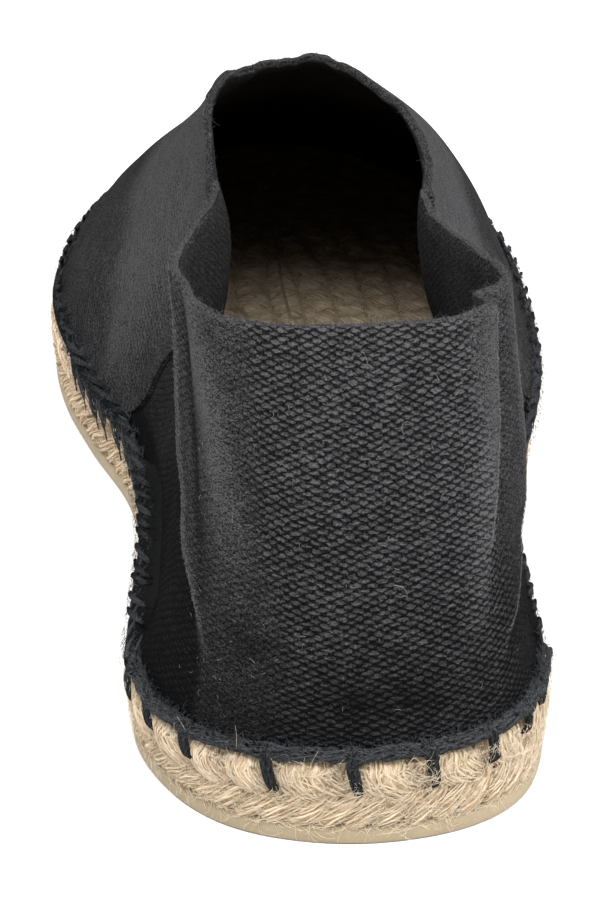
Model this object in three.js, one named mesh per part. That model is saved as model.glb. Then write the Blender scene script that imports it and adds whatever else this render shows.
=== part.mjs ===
// A flat espadrille for the right foot, in millimetres: a thin rubber outsole, a midsole of plaited
// jute and a slip-on canvas upper. +Y points from the heel to the toe, +Z is up, and the big toe's
// side is -X. Everything is worked out in "last" coordinates, with y = 0 at the heel's back and
// z = 0 on the floor, and the finished group is then centred over its own footprint.
import * as THREE from "three";

// ---- Driving dimensions -------------------------------------------------------------------------
const LENGTH = 268; // outside length of the sole
const OUTSOLE_THICKNESS = 3.2;
const PLAIT_HEIGHT = 11.6; // the jute plait stands on edge, two rows of strands high
const TOE_SPRING = 4.2; // how far the toe's tip lifts off the floor
const SPRING_START = 186; // forward of this the sole curls up; behind it the sole is flat
const SOLE_DRAFT = 1.6; // how much narrower, on each side, the sole is at the floor than at its top
const CANVAS = 1.6; // thickness of the doubled canvas
const GAP = 0.3; // room left between neighbouring pieces

const MIDSOLE_BOTTOM = OUTSOLE_THICKNESS + GAP;
const MIDSOLE_TOP = MIDSOLE_BOTTOM + PLAIT_HEIGHT;
const FEATHER_Z = MIDSOLE_TOP + GAP; // height of the upper's lower edge

// Half widths of the sole at stations along its length, on the big toe's side and the outer side.
const SOLE_STATIONS = [
  { y: 4, medial: 15.8, lateral: 19.2 },
  { y: 13, medial: 26.4, lateral: 29.8 },
  { y: 30, medial: 33.4, lateral: 35.8 },
  { y: 50, medial: 33.0, lateral: 36.4 },
  { y: 75, medial: 31.4, lateral: 36.6 },
  { y: 100, medial: 31.2, lateral: 39.0 },
  { y: 122, medial: 33.4, lateral: 43.2 },
  { y: 146, medial: 40.6, lateral: 46.8 },
  { y: 168, medial: 46.2, lateral: 47.8 },
  { y: 190, medial: 48.4, lateral: 47.4 },
  { y: 210, medial: 46.6, lateral: 45.6 },
  { y: 230, medial: 41.0, lateral: 40.8 },
  { y: 248, medial: 31.6, lateral: 32.0 },
  { y: 262, medial: 16.8, lateral: 18.0 },
];
const HEEL_TIP_X = 2; // the heel's rearmost point lies a little to the outer side
const TOE_TIP_X = 0;

// Sections of the upper, one row for each, from the heel's back round to the toe on each side.
//   at         share of the way along the sole's edge from heel to toe
//   inset      how far the canvas stands in from the sole's edge there
//   top x,y,z  where the section ends, on the collar or the throat's edge
//   up, out    the lower handle of the section's curve: how far it rises, and bulges outwards
//   down, back the upper handle: how far it drops from the top edge, and back towards the sole
const MEDIAL_SECTIONS = [
  { at: 0.0, inset: 3.4, x: 0, y: 13.5, z: 81.0, up: 20, out: 2.0, down: 24, back: 3.0 },
  { at: 0.065, inset: 3.6, x: -10.5, y: 14.4, z: 81.0, up: 20, out: 1.5, down: 24, back: 3.0 },
  { at: 0.115, inset: 4.0, x: -18.2, y: 19.0, z: 80.6, up: 18, out: -0.5, down: 26, back: 1.5 },
  { at: 0.165, inset: 4.2, x: -22.4, y: 30.0, z: 80.2, up: 16, out: -3.5, down: 28, back: 0.5 },
  { at: 0.21, inset: 4.2, x: -24.9, y: 41.0, z: 79.8, up: 16, out: -5.5, down: 30, back: -0.5 },
  { at: 0.285, inset: 4.0, x: -22.9, y: 58.0, z: 77.2, up: 15, out: -4.0, down: 26, back: -5.0 },
  { at: 0.375, inset: 3.4, x: -19.6, y: 80.0, z: 73.2, up: 12, out: -2.5, down: 24, back: -10.5 },
  { at: 0.455, inset: 2.8, x: -17.2, y: 104.0, z: 68.0, up: 9, out: -2.5, down: 23, back: -12.0 },
  { at: 0.54, inset: 2.4, x: -17.6, y: 117.5, z: 72.4, up: 9.5, out: -2.0, down: 24, back: -8.0 },
  { at: 0.625, inset: 2.2, x: -17.0, y: 127.0, z: 77.2, up: 12, out: -2.0, down: 25, back: 6.0 },
  { at: 0.72, inset: 2.2, x: -13.6, y: 133.0, z: 80.2, up: 10.5, out: -3.0, down: 27, back: 26.5 },
  { at: 0.84, inset: 2.2, x: -7.2, y: 136.4, z: 82.0, up: 10.5, out: -4.0, down: 31, back: 51.5 },
];
const TOE_SECTION = { inset: 2.4, x: 1.0, y: 137.4, z: 82.5, up: 14.5, out: -3.5, down: 35, back: 77.0 };
const LATERAL_SECTIONS = [
  { at: 0.065, inset: 3.4, x: 10.5, y: 14.2, z: 81.0, up: 20, out: 2.0, down: 24, back: 3.0 },
  { at: 0.115, inset: 3.4, x: 19.0, y: 16.4, z: 80.9, up: 19, out: 0.5, down: 26, back: 2.5 },
  { at: 0.16, inset: 3.6, x: 24.6, y: 24.6, z: 80.2, up: 18, out: -1.0, down: 28, back: 2.0 },
  { at: 0.21, inset: 3.6, x: 27.6, y: 38.0, z: 79.2, up: 16, out: -1.5, down: 30, back: 1.5 },
  { at: 0.285, inset: 3.2, x: 26.2, y: 54.0, z: 76.0, up: 15, out: -2.5, down: 26, back: -2.0 },
  { at: 0.375, inset: 2.6, x: 23.4, y: 76.0, z: 71.4, up: 12, out: -3.0, down: 24, back: -5.5 },
  { at: 0.455, inset: 2.0, x: 21.4, y: 99.0, z: 67.0, up: 9.5, out: -3.5, down: 23.5, back: -6.0 },
  { at: 0.54, inset: 1.6, x: 22.8, y: 111.0, z: 69.4, up: 10, out: -2.5, down: 22, back: -3.0 },
  { at: 0.625, inset: 1.4, x: 21.2, y: 119.6, z: 73.4, up: 12.5, out: -1.5, down: 22, back: 10.5 },
  { at: 0.72, inset: 1.4, x: 17.0, y: 127.2, z: 77.4, up: 14.5, out: -2.0, down: 22.5, back: 37.0 },
  { at: 0.84, inset: 1.8, x: 9.6, y: 134.4, z: 81.1, up: 15.5, out: -1.0, down: 29, back: 58.5 },
];

// Fineness of the edge curve and of the faceted solids.
const EDGE_STEPS = 2000; // steps along the sole's edge in which its length is measured
const SOLE_STEPS = 44; // stations along the sole
const UPPER_RIBS = 104; // sections round the upper
const UPPER_ROWS = 12; // steps from the sole up to the collar

// ---- The sole's edge ----------------------------------------------------------------------------
// The edge as one closed curve, from the heel's back along the big toe's side, round the toe and
// back along the outer side.
function soleEdge() {
  const points = [new THREE.Vector3(HEEL_TIP_X, 0, 0)];
  SOLE_STATIONS.forEach((s) => points.push(new THREE.Vector3(-s.medial, s.y, 0)));
  points.push(new THREE.Vector3(TOE_TIP_X, LENGTH, 0));
  [...SOLE_STATIONS].reverse().forEach((s) => points.push(new THREE.Vector3(s.lateral, s.y, 0)));
  const curve = new THREE.CatmullRomCurve3(points, true, "centripetal");
  curve.arcLengthDivisions = EDGE_STEPS;
  return curve;
}

const EDGE = soleEdge();

// The share of the edge's length at which it passes the toe's tip.
function toeShare() {
  const points = EDGE.getSpacedPoints(EDGE_STEPS);
  const foremost = points.reduce((best, p, i) => (p.y > points[best].y ? i : best), 0);
  return foremost / EDGE_STEPS;
}

const TOE_ROUND = toeShare();

// The outward direction, in plan, at a share of the way round the edge.
function outwardAt(round) {
  const along = EDGE.getTangentAt(round);
  return new THREE.Vector3(-along.y, along.x, 0).normalize();
}

// How far the sole's layers rise at a station: nothing behind the ball, then a gentle upward curl.
function spring(y) {
  const share = Math.max(0, (y - SPRING_START) / (LENGTH - SPRING_START));
  return TOE_SPRING * share ** 2;
}

// A point at a share of the way round, set in from the edge, on a layer whose flat part is at z.
// The side draft is a further inset that applies along the sole's sides but not at heel and toe.
function edgePoint(round, inset, z, sideDraft = 0) {
  const outward = outwardAt(round);
  const point = EDGE.getPointAt(round).addScaledVector(outward, -inset - sideDraft * outward.x ** 2);
  return point.setZ(z + spring(point.y));
}

// ---- Mesh building ------------------------------------------------------------------------------
function meshOf(name, triangles, colour, roughness) {
  const geometry = new THREE.BufferGeometry();
  geometry.setAttribute("position", new THREE.Float32BufferAttribute(triangles.flat(2), 3));
  geometry.computeVertexNormals();
  const material = new THREE.MeshStandardMaterial({ color: colour, roughness, metalness: 0 });
  const mesh = new THREE.Mesh(geometry, material);
  mesh.name = name;
  return mesh;
}

function quad(triangles, a, b, c, d) {
  triangles.push([a, b, c], [a, c, d]);
}

// A layer of the sole from a list of levels { inset, draft, z }, bottom first. Each level is one ring
// of points, and the two lids are strips laid across from the big toe's side to the outer side.
function soleLayer(levels) {
  const count = 2 * SOLE_STEPS;
  const rings = levels.map((level) => {
    const points = [];
    for (let i = 0; i < count; i++) {
      const share = i / SOLE_STEPS;
      const round = i < SOLE_STEPS ? share * TOE_ROUND : 1 - (2 - share) * (1 - TOE_ROUND);
      points.push(edgePoint(round, level.inset, level.z, level.draft).toArray());
    }
    return points;
  });
  const triangles = [];
  for (let k = 0; k + 1 < rings.length; k++)
    for (let i = 0; i < count; i++) {
      const j = (i + 1) % count;
      quad(triangles, rings[k][j], rings[k][i], rings[k + 1][i], rings[k + 1][j]);
    }
  const bottom = rings[0];
  const top = rings[rings.length - 1];
  strips(top).forEach(([a, b, c]) => triangles.push([a, b, c]));
  strips(bottom).forEach(([a, b, c]) => triangles.push([a, c, b]));
  return triangles;
}

// Triangles filling a ring, seen from above.
function strips(ring) {
  const across = (i) => ring[(ring.length - i) % ring.length];
  const triangles = [[ring[0], across(1), ring[1]]];
  for (let i = 1; i < SOLE_STEPS - 1; i++)
    quad(triangles, ring[i], across(i), across(i + 1), ring[i + 1]);
  triangles.push([ring[SOLE_STEPS - 1], across(SOLE_STEPS - 1), ring[SOLE_STEPS]]);
  return triangles;
}

// ---- Upper --------------------------------------------------------------------------------------
// The upper's sections in order round the whole shoe, with the share of each side turned into a
// share of the whole edge.
function sectionsRound() {
  const medial = MEDIAL_SECTIONS.map((s) => ({ ...s, round: s.at * TOE_ROUND }));
  const toe = { ...TOE_SECTION, round: TOE_ROUND };
  const lateral = LATERAL_SECTIONS.map((s) => ({ ...s, round: 1 - s.at * (1 - TOE_ROUND) }));
  return [...medial, toe, ...lateral.reverse()];
}

// Any column of the section table at any place round the shoe, on a smooth closed curve.
function sectionReader(sections) {
  const count = sections.length;
  const wrapped = (i) => {
    const s = sections[((i % count) + count) % count];
    return { ...s, round: s.round + Math.floor(i / count) };
  };
  return (column, round) => {
    let i = sections.findIndex((s) => s.round > round) - 1;
    if (i < 0) i = count - 1;
    const [a, b, c, d] = [wrapped(i - 1), wrapped(i), wrapped(i + 1), wrapped(i + 2)];
    const span = c.round - b.round;
    const t = (round - b.round) / span;
    const slope = (p, q) => (q[column] - p[column]) / (q.round - p.round);
    const ease = t * t * (3 - 2 * t);
    const leaving = t * (1 - t) ** 2 * span * slope(a, c);
    const arriving = t * t * (1 - t) * span * slope(b, d);
    return (1 - ease) * b[column] + ease * c[column] + leaving - arriving;
  };
}

const READ = sectionReader(sectionsRound());

// A point of the canvas's outer face: round runs 0 to 1 round the shoe, rise 0 to 1 up a section.
// Each section is a cubic curve from the sole's edge to the collar, in an upright plane.
function upperPoint(round, rise) {
  const outward = outwardAt(round);
  const foot = edgePoint(round, READ("inset", round), FEATHER_Z);
  const top = new THREE.Vector3(READ("x", round), READ("y", round), READ("z", round));
  const inward = new THREE.Vector3(top.x - foot.x, top.y - foot.y, 0).normalize();
  const low = foot.clone().addScaledVector(outward, READ("out", round));
  low.z += READ("up", round);
  const high = top.clone().addScaledVector(inward, -READ("back", round));
  high.z -= READ("down", round);
  return new THREE.CubicBezierCurve3(foot, low, high, top).getPoint(rise);
}

// The outward direction square to the canvas's outer face. Its lower edge stays level on the sole.
function upperNormal(round, rise) {
  const step = 1e-3;
  const around = upperPoint((round + step) % 1, rise);
  around.sub(upperPoint((round - step + 1) % 1, rise));
  const upward = upperPoint(round, Math.min(1, rise + step));
  upward.sub(upperPoint(round, Math.max(0, rise - step)));
  const normal = new THREE.Vector3().crossVectors(upward, around);
  if (rise === 0) normal.setZ(0);
  return normal.normalize();
}

// The canvas as one hollow wall, open at the collar and underneath.
function upperWall() {
  const outer = [];
  const inner = [];
  for (let i = 0; i < UPPER_RIBS; i++) {
    const round = i / UPPER_RIBS;
    outer.push([]);
    inner.push([]);
    for (let k = 0; k <= UPPER_ROWS; k++) {
      const rise = k / UPPER_ROWS;
      const point = upperPoint(round, rise);
      outer[i].push(point.toArray());
      inner[i].push(point.addScaledVector(upperNormal(round, rise), -CANVAS).toArray());
    }
  }
  const triangles = [];
  const rim = UPPER_ROWS;
  for (let i = 0; i < UPPER_RIBS; i++) {
    const j = (i + 1) % UPPER_RIBS;
    for (let k = 0; k < rim; k++) {
      quad(triangles, outer[j][k], outer[i][k], outer[i][k + 1], outer[j][k + 1]);
      quad(triangles, inner[i][k], inner[j][k], inner[j][k + 1], inner[i][k + 1]);
    }
    quad(triangles, inner[j][0], inner[i][0], outer[i][0], outer[j][0]);
    quad(triangles, outer[j][rim], outer[i][rim], inner[i][rim], inner[j][rim]);
  }
  return triangles;
}

// ---- The pieces ---------------------------------------------------------------------------------
// Thin rubber, rounded at its lower edge and set in a little under the jute.
function outsole() {
  const levels = [
    { inset: 0.8, draft: SOLE_DRAFT, z: 0 },
    { inset: 0.1, draft: SOLE_DRAFT, z: 0.8 },
    { inset: 0.1, draft: SOLE_DRAFT, z: OUTSOLE_THICKNESS },
  ];
  return meshOf("outsole", soleLayer(levels), 0xb9ab86, 0.6);
}

// The coiled jute plait. Its side shows two rows of strands with a valley between them.
function midsole() {
  const row = PLAIT_HEIGHT / 2;
  const levels = [
    { inset: 1.1, draft: SOLE_DRAFT, z: MIDSOLE_BOTTOM },
    { inset: 0.3, draft: 0.8 * SOLE_DRAFT, z: MIDSOLE_BOTTOM + 0.3 * row },
    { inset: 0.2, draft: 0.6 * SOLE_DRAFT, z: MIDSOLE_BOTTOM + 0.7 * row },
    { inset: 0.9, draft: 0.4 * SOLE_DRAFT, z: MIDSOLE_BOTTOM + row },
    { inset: 0.1, draft: 0.2 * SOLE_DRAFT, z: MIDSOLE_BOTTOM + 1.4 * row },
    { inset: 0.3, draft: 0, z: MIDSOLE_BOTTOM + 1.75 * row },
    { inset: 1.3, draft: 0, z: MIDSOLE_TOP },
  ];
  return meshOf("midsole", soleLayer(levels), 0xc9ad80, 0.95);
}

function upper() {
  return meshOf("upper", upperWall(), 0x2c2b2f, 0.95);
}

const espadrille = new THREE.Group();
espadrille.add(outsole(), midsole(), upper());

// The origin goes to the middle of the footprint, on the floor.
const middle = new THREE.Box3().setFromObject(espadrille).getCenter(new THREE.Vector3());
espadrille.position.set(-middle.x, -middle.y, 0);

export default espadrille;
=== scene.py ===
"""A black canvas espadrille for the right foot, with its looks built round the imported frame.

Lengths are millimetres in the last's own coordinates, as in the part's source: y = 0 at the heel's
back and rising to the toe, z = 0 on the floor, the big toe's side at -x. A place round the shoe is
given by its distance along the sole's edge from the heel's back, called walk: positive along the
big toe's side, negative along the outer side. place() turns millimetres into the frame's metres.
"""

import math

import bpy
import numpy as np
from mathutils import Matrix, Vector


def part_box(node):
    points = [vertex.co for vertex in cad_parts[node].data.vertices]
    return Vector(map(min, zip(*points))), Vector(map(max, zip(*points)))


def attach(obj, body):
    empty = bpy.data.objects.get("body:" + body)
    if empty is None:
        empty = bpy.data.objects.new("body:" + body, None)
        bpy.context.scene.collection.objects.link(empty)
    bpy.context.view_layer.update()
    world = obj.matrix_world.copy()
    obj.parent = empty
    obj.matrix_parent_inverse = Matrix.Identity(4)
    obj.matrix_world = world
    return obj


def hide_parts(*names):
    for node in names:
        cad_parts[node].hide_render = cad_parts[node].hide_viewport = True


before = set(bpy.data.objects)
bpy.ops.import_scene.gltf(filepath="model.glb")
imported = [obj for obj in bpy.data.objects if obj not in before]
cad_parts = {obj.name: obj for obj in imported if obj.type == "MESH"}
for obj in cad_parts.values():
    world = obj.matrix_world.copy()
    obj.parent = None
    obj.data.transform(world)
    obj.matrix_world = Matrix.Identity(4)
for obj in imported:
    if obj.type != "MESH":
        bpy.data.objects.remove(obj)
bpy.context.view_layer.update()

MM = 0.001
RANDOM = np.random.default_rng(7)

# ---- The last: the same driving dimensions and tables as the part's source -----------------------
LENGTH = 268.0
OUTSOLE_THICKNESS = 3.2
PLAIT_HEIGHT = 11.6
TOE_SPRING = 4.2
SPRING_START = 186.0
SOLE_DRAFT = 1.6
CANVAS = 1.6
GAP = 0.3
MIDSOLE_BOTTOM = OUTSOLE_THICKNESS + GAP
MIDSOLE_TOP = MIDSOLE_BOTTOM + PLAIT_HEIGHT
FEATHER_Z = MIDSOLE_TOP + GAP

# Half widths of the sole: y, big toe's side, outer side.
SOLE_STATIONS = [
    (4, 15.8, 19.2), (13, 26.4, 29.8), (30, 33.4, 35.8), (50, 33.0, 36.4), (75, 31.4, 36.6),
    (100, 31.2, 39.0), (122, 33.4, 43.2), (146, 40.6, 46.8), (168, 46.2, 47.8), (190, 48.4, 47.4),
    (210, 46.6, 45.6), (230, 41.0, 40.8), (248, 31.6, 32.0), (262, 16.8, 18.0),
]
HEEL_TIP_X = 2.0
TOE_TIP_X = 0.0

# Sections of the upper: share of the way to the toe, inset, top x, y, z, and the two handles of
# the section's curve: up and out of the lower one, down and back of the upper one.
SECTION_COLUMNS = ("inset", "x", "y", "z", "up", "out", "down", "back")
MEDIAL_SECTIONS = [
    (0.0, 3.4, 0, 13.5, 81.0, 20, 2.0, 24, 3.0),
    (0.065, 3.6, -10.5, 14.4, 81.0, 20, 1.5, 24, 3.0),
    (0.115, 4.0, -18.2, 19.0, 80.6, 18, -0.5, 26, 1.5),
    (0.165, 4.2, -22.4, 30.0, 80.2, 16, -3.5, 28, 0.5),
    (0.21, 4.2, -24.9, 41.0, 79.8, 16, -5.5, 30, -0.5),
    (0.285, 4.0, -22.9, 58.0, 77.2, 15, -4.0, 26, -5.0),
    (0.375, 3.4, -19.6, 80.0, 73.2, 12, -2.5, 24, -10.5),
    (0.455, 2.8, -17.2, 104.0, 68.0, 9, -2.5, 23, -12.0),
    (0.54, 2.4, -17.6, 117.5, 72.4, 9.5, -2.0, 24, -8.0),
    (0.625, 2.2, -17.0, 127.0, 77.2, 12, -2.0, 25, 6.0),
    (0.72, 2.2, -13.6, 133.0, 80.2, 10.5, -3.0, 27, 26.5),
    (0.84, 2.2, -7.2, 136.4, 82.0, 10.5, -4.0, 31, 51.5),
    (1.0, 2.4, 1.0, 137.4, 82.5, 14.5, -3.5, 35, 77.0),
]
LATERAL_SECTIONS = [
    (0.065, 3.4, 10.5, 14.2, 81.0, 20, 2.0, 24, 3.0),
    (0.115, 3.4, 19.0, 16.4, 80.9, 19, 0.5, 26, 2.5),
    (0.16, 3.6, 24.6, 24.6, 80.2, 18, -1.0, 28, 2.0),
    (0.21, 3.6, 27.6, 38.0, 79.2, 16, -1.5, 30, 1.5),
    (0.285, 3.2, 26.2, 54.0, 76.0, 15, -2.5, 26, -2.0),
    (0.375, 2.6, 23.4, 76.0, 71.4, 12, -3.0, 24, -5.5),
    (0.455, 2.0, 21.4, 99.0, 67.0, 9.5, -3.5, 23.5, -6.0),
    (0.54, 1.6, 22.8, 111.0, 69.4, 10, -2.5, 22, -3.0),
    (0.625, 1.4, 21.2, 119.6, 73.4, 12.5, -1.5, 22, 10.5),
    (0.72, 1.4, 17.0, 127.2, 77.4, 14.5, -2.0, 22.5, 37.0),
    (0.84, 1.8, 9.6, 134.4, 81.1, 15.5, -1.0, 29, 58.5),
]


def sole_edge(steps=200):
    """Points along the sole's edge in plan: a closed centripetal spline through the stations."""
    points = [(HEEL_TIP_X, 0.0)] + [(-medial, y) for y, medial, _ in SOLE_STATIONS]
    points += [(TOE_TIP_X, LENGTH)] + [(lateral, y) for y, _, lateral in reversed(SOLE_STATIONS)]
    start = np.array(points, float)
    before, end, after = np.roll(start, 1, 0), np.roll(start, -1, 0), np.roll(start, -2, 0)
    gaps = [np.sqrt(np.linalg.norm(q - p, axis=1))[:, None] for p, q in
            ((before, start), (start, end), (end, after))]
    leave = (start - before) / gaps[0] - (end - before) / (gaps[0] + gaps[1]) + (end - start) / gaps[1]
    reach = (end - start) / gaps[1] - (after - start) / (gaps[1] + gaps[2]) + (after - end) / gaps[2]
    leave, reach = (leave * gaps[1])[:, None], (reach * gaps[1])[:, None]
    start, end = start[:, None], end[:, None]
    t = np.linspace(0, 1, steps, endpoint=False)[None, :, None]
    curve = start + leave * t + (3 * (end - start) - 2 * leave - reach) * t**2
    curve += (2 * (start - end) + leave + reach) * t**3
    return curve.reshape(-1, 2)


EDGE = sole_edge()
EDGE_STEPS = np.linalg.norm(np.roll(EDGE, -1, 0) - EDGE, axis=1)
AROUND = EDGE_STEPS.sum()  # the length of the sole's edge
EDGE_WALK = np.r_[0, np.cumsum(EDGE_STEPS)[:-1]]
TOE_WALK = EDGE_WALK[np.argmax(EDGE[:, 1])]


EDGE_ALONG = np.roll(EDGE, -1, 0) - np.roll(EDGE, 1, 0)
EDGE_OUT = np.stack([-EDGE_ALONG[:, 1], EDGE_ALONG[:, 0]], 1)
EDGE_OUT /= np.linalg.norm(EDGE_ALONG, axis=1)[:, None]


def unit(vectors):
    return vectors / np.linalg.norm(vectors, axis=-1, keepdims=True)


def signed_walk(walk):
    """Any distance round the edge, as a walk: negative along the outer side."""
    return (np.asarray(walk, float) + AROUND / 2) % AROUND - AROUND / 2


def at_walk(samples, walk):
    """Values known along the edge, read at any distance round it."""
    columns = [np.interp(walk, EDGE_WALK, column, period=AROUND) for column in samples.T]
    return np.stack(columns, -1)


def outward(walk, lift):
    """The direction away from the shoe at each walk, with lift as its upward part."""
    out = at_walk(EDGE_OUT, walk)
    return np.concatenate([out, np.full(out.shape[:-1] + (1,), float(lift))], -1)


def edge_point(walk, inset, z, draft=0.0):
    """A point set in from the sole's edge, on a layer whose flat part is at height z."""
    out = at_walk(EDGE_OUT, walk)
    plan = at_walk(EDGE, walk) - out * (np.asarray(inset)[..., None] + draft * out[..., :1] ** 2)
    spring = TOE_SPRING * np.clip((plan[..., 1] - SPRING_START) / (LENGTH - SPRING_START), 0, None) ** 2
    return np.concatenate([plan, (z + spring)[..., None]], -1)


def sections_round():
    """The section table with each share turned into a walk from 0 to AROUND."""
    rows = [(s[0] * TOE_WALK, *s[1:]) for s in MEDIAL_SECTIONS]
    rows += [(AROUND - s[0] * (AROUND - TOE_WALK), *s[1:]) for s in reversed(LATERAL_SECTIONS)]
    return np.array(rows, float)


SECTIONS = sections_round()


def section_at(walk):
    """Every column of the section table at a place round the shoe, on a smooth closed curve."""
    walk = np.asarray(walk, float) % AROUND
    i = np.searchsorted(SECTIONS[:, 0], walk, side="right") - 1

    def row(k):
        found = SECTIONS[k % len(SECTIONS)].copy()
        found[..., 0] += AROUND * (k // len(SECTIONS))
        return found

    def slope(p, q):
        return (q - p) / (q[..., :1] - p[..., :1])

    a, b, c, d = row(i - 1), row(i), row(i + 1), row(i + 2)
    span = c[..., :1] - b[..., :1]
    t = (walk[..., None] - b[..., :1]) / span
    ease = t * t * (3 - 2 * t)
    value = (1 - ease) * b + ease * c
    value += t * (1 - t) ** 2 * span * slope(a, c) - t * t * (1 - t) * span * slope(b, d)
    return dict(zip(SECTION_COLUMNS, np.moveaxis(value[..., 1:], -1, 0)))


def upper_base(walk, rise):
    """The canvas's outer face as in the CAD: rise is 0 at the sole and 1 at the collar."""
    walk, rise = np.broadcast_arrays(np.asarray(walk, float), np.asarray(rise, float))
    s = section_at(walk)
    foot = edge_point(walk, s["inset"], FEATHER_Z)
    top = np.stack([s["x"], s["y"], s["z"]], -1)
    inward = unit((top - foot) * (1, 1, 0))
    low = foot + np.concatenate([at_walk(EDGE_OUT, walk) * s["out"][..., None], s["up"][..., None]], -1)
    high = top - inward * s["back"][..., None]
    high[..., 2] -= s["down"]
    t = rise[..., None]
    return (1 - t) ** 3 * foot + 3 * t * (1 - t) ** 2 * low + 3 * t**2 * (1 - t) * high + t**3 * top


def on_canvas(walk, rise):
    """Points on the upper's base surface, and the outward direction at each."""
    base = upper_base(walk, rise)
    ahead = upper_base(walk + 0.5, rise) - base
    return base, unit(np.cross(upper_base(walk, rise + 0.01) - base, ahead))


def facing(points):
    """Outward unit normals of a grid of points (round the shoe, then upwards)."""
    around = np.gradient(points, axis=0)
    upward = np.gradient(points, axis=1)
    return unit(np.cross(upward, around))


def smooth(low, high, value):
    """0 below low, 1 above high, with a soft passage between them."""
    t = np.clip((value - low) / (high - low), 0, 1)
    return t * t * (3 - 2 * t)


def fine_columns(first, last, count, centre, spread):
    """Places from first to last, closer together within spread of the centre."""
    even = np.linspace(first, last, 2000)
    density = 1 + 2.2 * np.exp(-(((even - centre) / spread) ** 4))
    total = np.r_[0, np.cumsum((density[1:] + density[:-1]) / 2)]
    return np.interp(np.linspace(0, total[-1], count), total, even)


# The frame's origin is under the middle of the footprint, so the shift follows from the midsole.
MIDSOLE_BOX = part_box("midsole")
SHIFT = np.array([
    (MIDSOLE_BOX[0].x + MIDSOLE_BOX[1].x) / 2 / MM - (EDGE[:, 0].min() + EDGE[:, 0].max()) / 2,
    (MIDSOLE_BOX[0].y + MIDSOLE_BOX[1].y) / 2 / MM - LENGTH / 2,
    0.0,
])


def place(points):
    """Millimetres on the last, as metres in the frame."""
    return (np.asarray(points, float) + SHIFT) * MM


# ---- Mesh building -------------------------------------------------------------------------------
class Soup:
    """Collects grids and tubes of points and makes one mesh of them."""

    def __init__(self):
        self.points, self.faces, self.corners, self.marks = [], [], [], []
        self.count = 0

    def grid(self, points, uv, mark=None, closed=False):
        """A sheet of quads over points (n, m, 3). Closed joins the last row in m to the first, and
        then uv (n, m + 1, 2) has one more row than points. mark (n, m, k) are values kept there."""
        n, m = points.shape[:2]
        index = self.count + np.arange(n * m).reshape(n, m)
        if closed:
            index = np.concatenate([index, index[:, :1]], 1)
        quads = np.stack([index[:-1, :-1], index[1:, :-1], index[1:, 1:], index[:-1, 1:]], -1)
        maps = np.stack([uv[:-1, :-1], uv[1:, :-1], uv[1:, 1:], uv[:-1, 1:]], -2)
        self.faces.append(quads.reshape(-1, 4))
        self.corners.append(maps.reshape(-1, 4, 2))
        self.points.append(points.reshape(-1, 3))
        mark = np.zeros((n, m, 2)) if mark is None else mark
        self.marks.append(mark.reshape(-1, mark.shape[-1]))
        self.count += n * m

    def tube(self, path, across, width, height, sides=10, mark=None):
        """A tube of oval section along a path (n, 3). across (n, 3) points along its width."""
        n = len(path)
        along = unit(np.gradient(path, axis=0))
        side = unit(across - along * (across * along).sum(1, keepdims=True))
        up = np.cross(side, along)
        turn = np.linspace(0, 2 * math.pi, sides, endpoint=False)[None, :, None]
        ring = path[:, None] + side[:, None] * np.cos(turn) * np.reshape(width, (-1, 1, 1))
        ring = ring + up[:, None] * np.sin(turn) * np.reshape(height, (-1, 1, 1))
        run = np.r_[0, np.cumsum(np.linalg.norm(np.diff(path, axis=0), axis=1))]
        girth = math.pi * (np.mean(width) + np.mean(height))
        uv = np.empty((n, sides + 1, 2))
        uv[..., 0] = np.linspace(0, girth, sides + 1)
        uv[..., 1] = run[:, None] + RANDOM.uniform(0, 500)
        kept = np.zeros((n, sides, 2))
        if mark is not None:
            kept[...] = mark
        self.grid(ring, uv, kept, closed=True)

    def build(self, name, material):
        points = place(np.concatenate(self.points))
        faces = np.concatenate(self.faces)
        mesh = bpy.data.meshes.new(name)
        mesh.vertices.add(len(points))
        mesh.vertices.foreach_set("co", points.astype(np.float32).ravel())
        mesh.loops.add(faces.size)
        mesh.loops.foreach_set("vertex_index", faces.astype(np.int32).ravel())
        mesh.polygons.add(len(faces))
        mesh.polygons.foreach_set("loop_start", np.arange(0, faces.size, 4, dtype=np.int32))
        mesh.polygons.foreach_set("use_smooth", np.ones(len(faces), bool))
        mesh.update(calc_edges=True)
        layer = mesh.uv_layers.new(name="cloth")
        layer.uv.foreach_set("vector", np.concatenate(self.corners).astype(np.float32).ravel())
        marks = np.concatenate(self.marks)
        for column, title in enumerate(("fuzz", "shade")):
            attribute = mesh.attributes.new(title, "FLOAT", "POINT")
            attribute.data.foreach_set("value", marks[:, column].astype(np.float32))
        mesh.materials.append(material)
        piece = bpy.data.objects.new(name, mesh)
        bpy.context.scene.collection.objects.link(piece)
        return piece


# ---- Materials -----------------------------------------------------------------------------------
class Value:
    """A number in a material: arithmetic on it adds Math nodes."""

    def __init__(self, nodes, socket):
        self.nodes, self.socket = nodes, socket

    def __add__(self, other):
        return self.nodes.math("ADD", self, other)

    def __sub__(self, other):
        return self.nodes.math("SUBTRACT", self, other)

    def __rsub__(self, other):
        return self.nodes.math("SUBTRACT", other, self)

    def __mul__(self, other):
        return self.nodes.math("MULTIPLY", self, other)

    def __truediv__(self, other):
        return self.nodes.math("DIVIDE", self, other)

    def __pow__(self, other):
        return self.nodes.math("POWER", self, other)

    def ramp(self, low, high, from_low=0.0, from_high=1.0):
        """Maps from_low to low and from_high to high, and stays between them."""
        ends = {"From Min": from_low, "From Max": from_high, "To Min": low, "To Max": high}
        return self.nodes.value("MapRange", "Result", {"Value": self, **ends})


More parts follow.
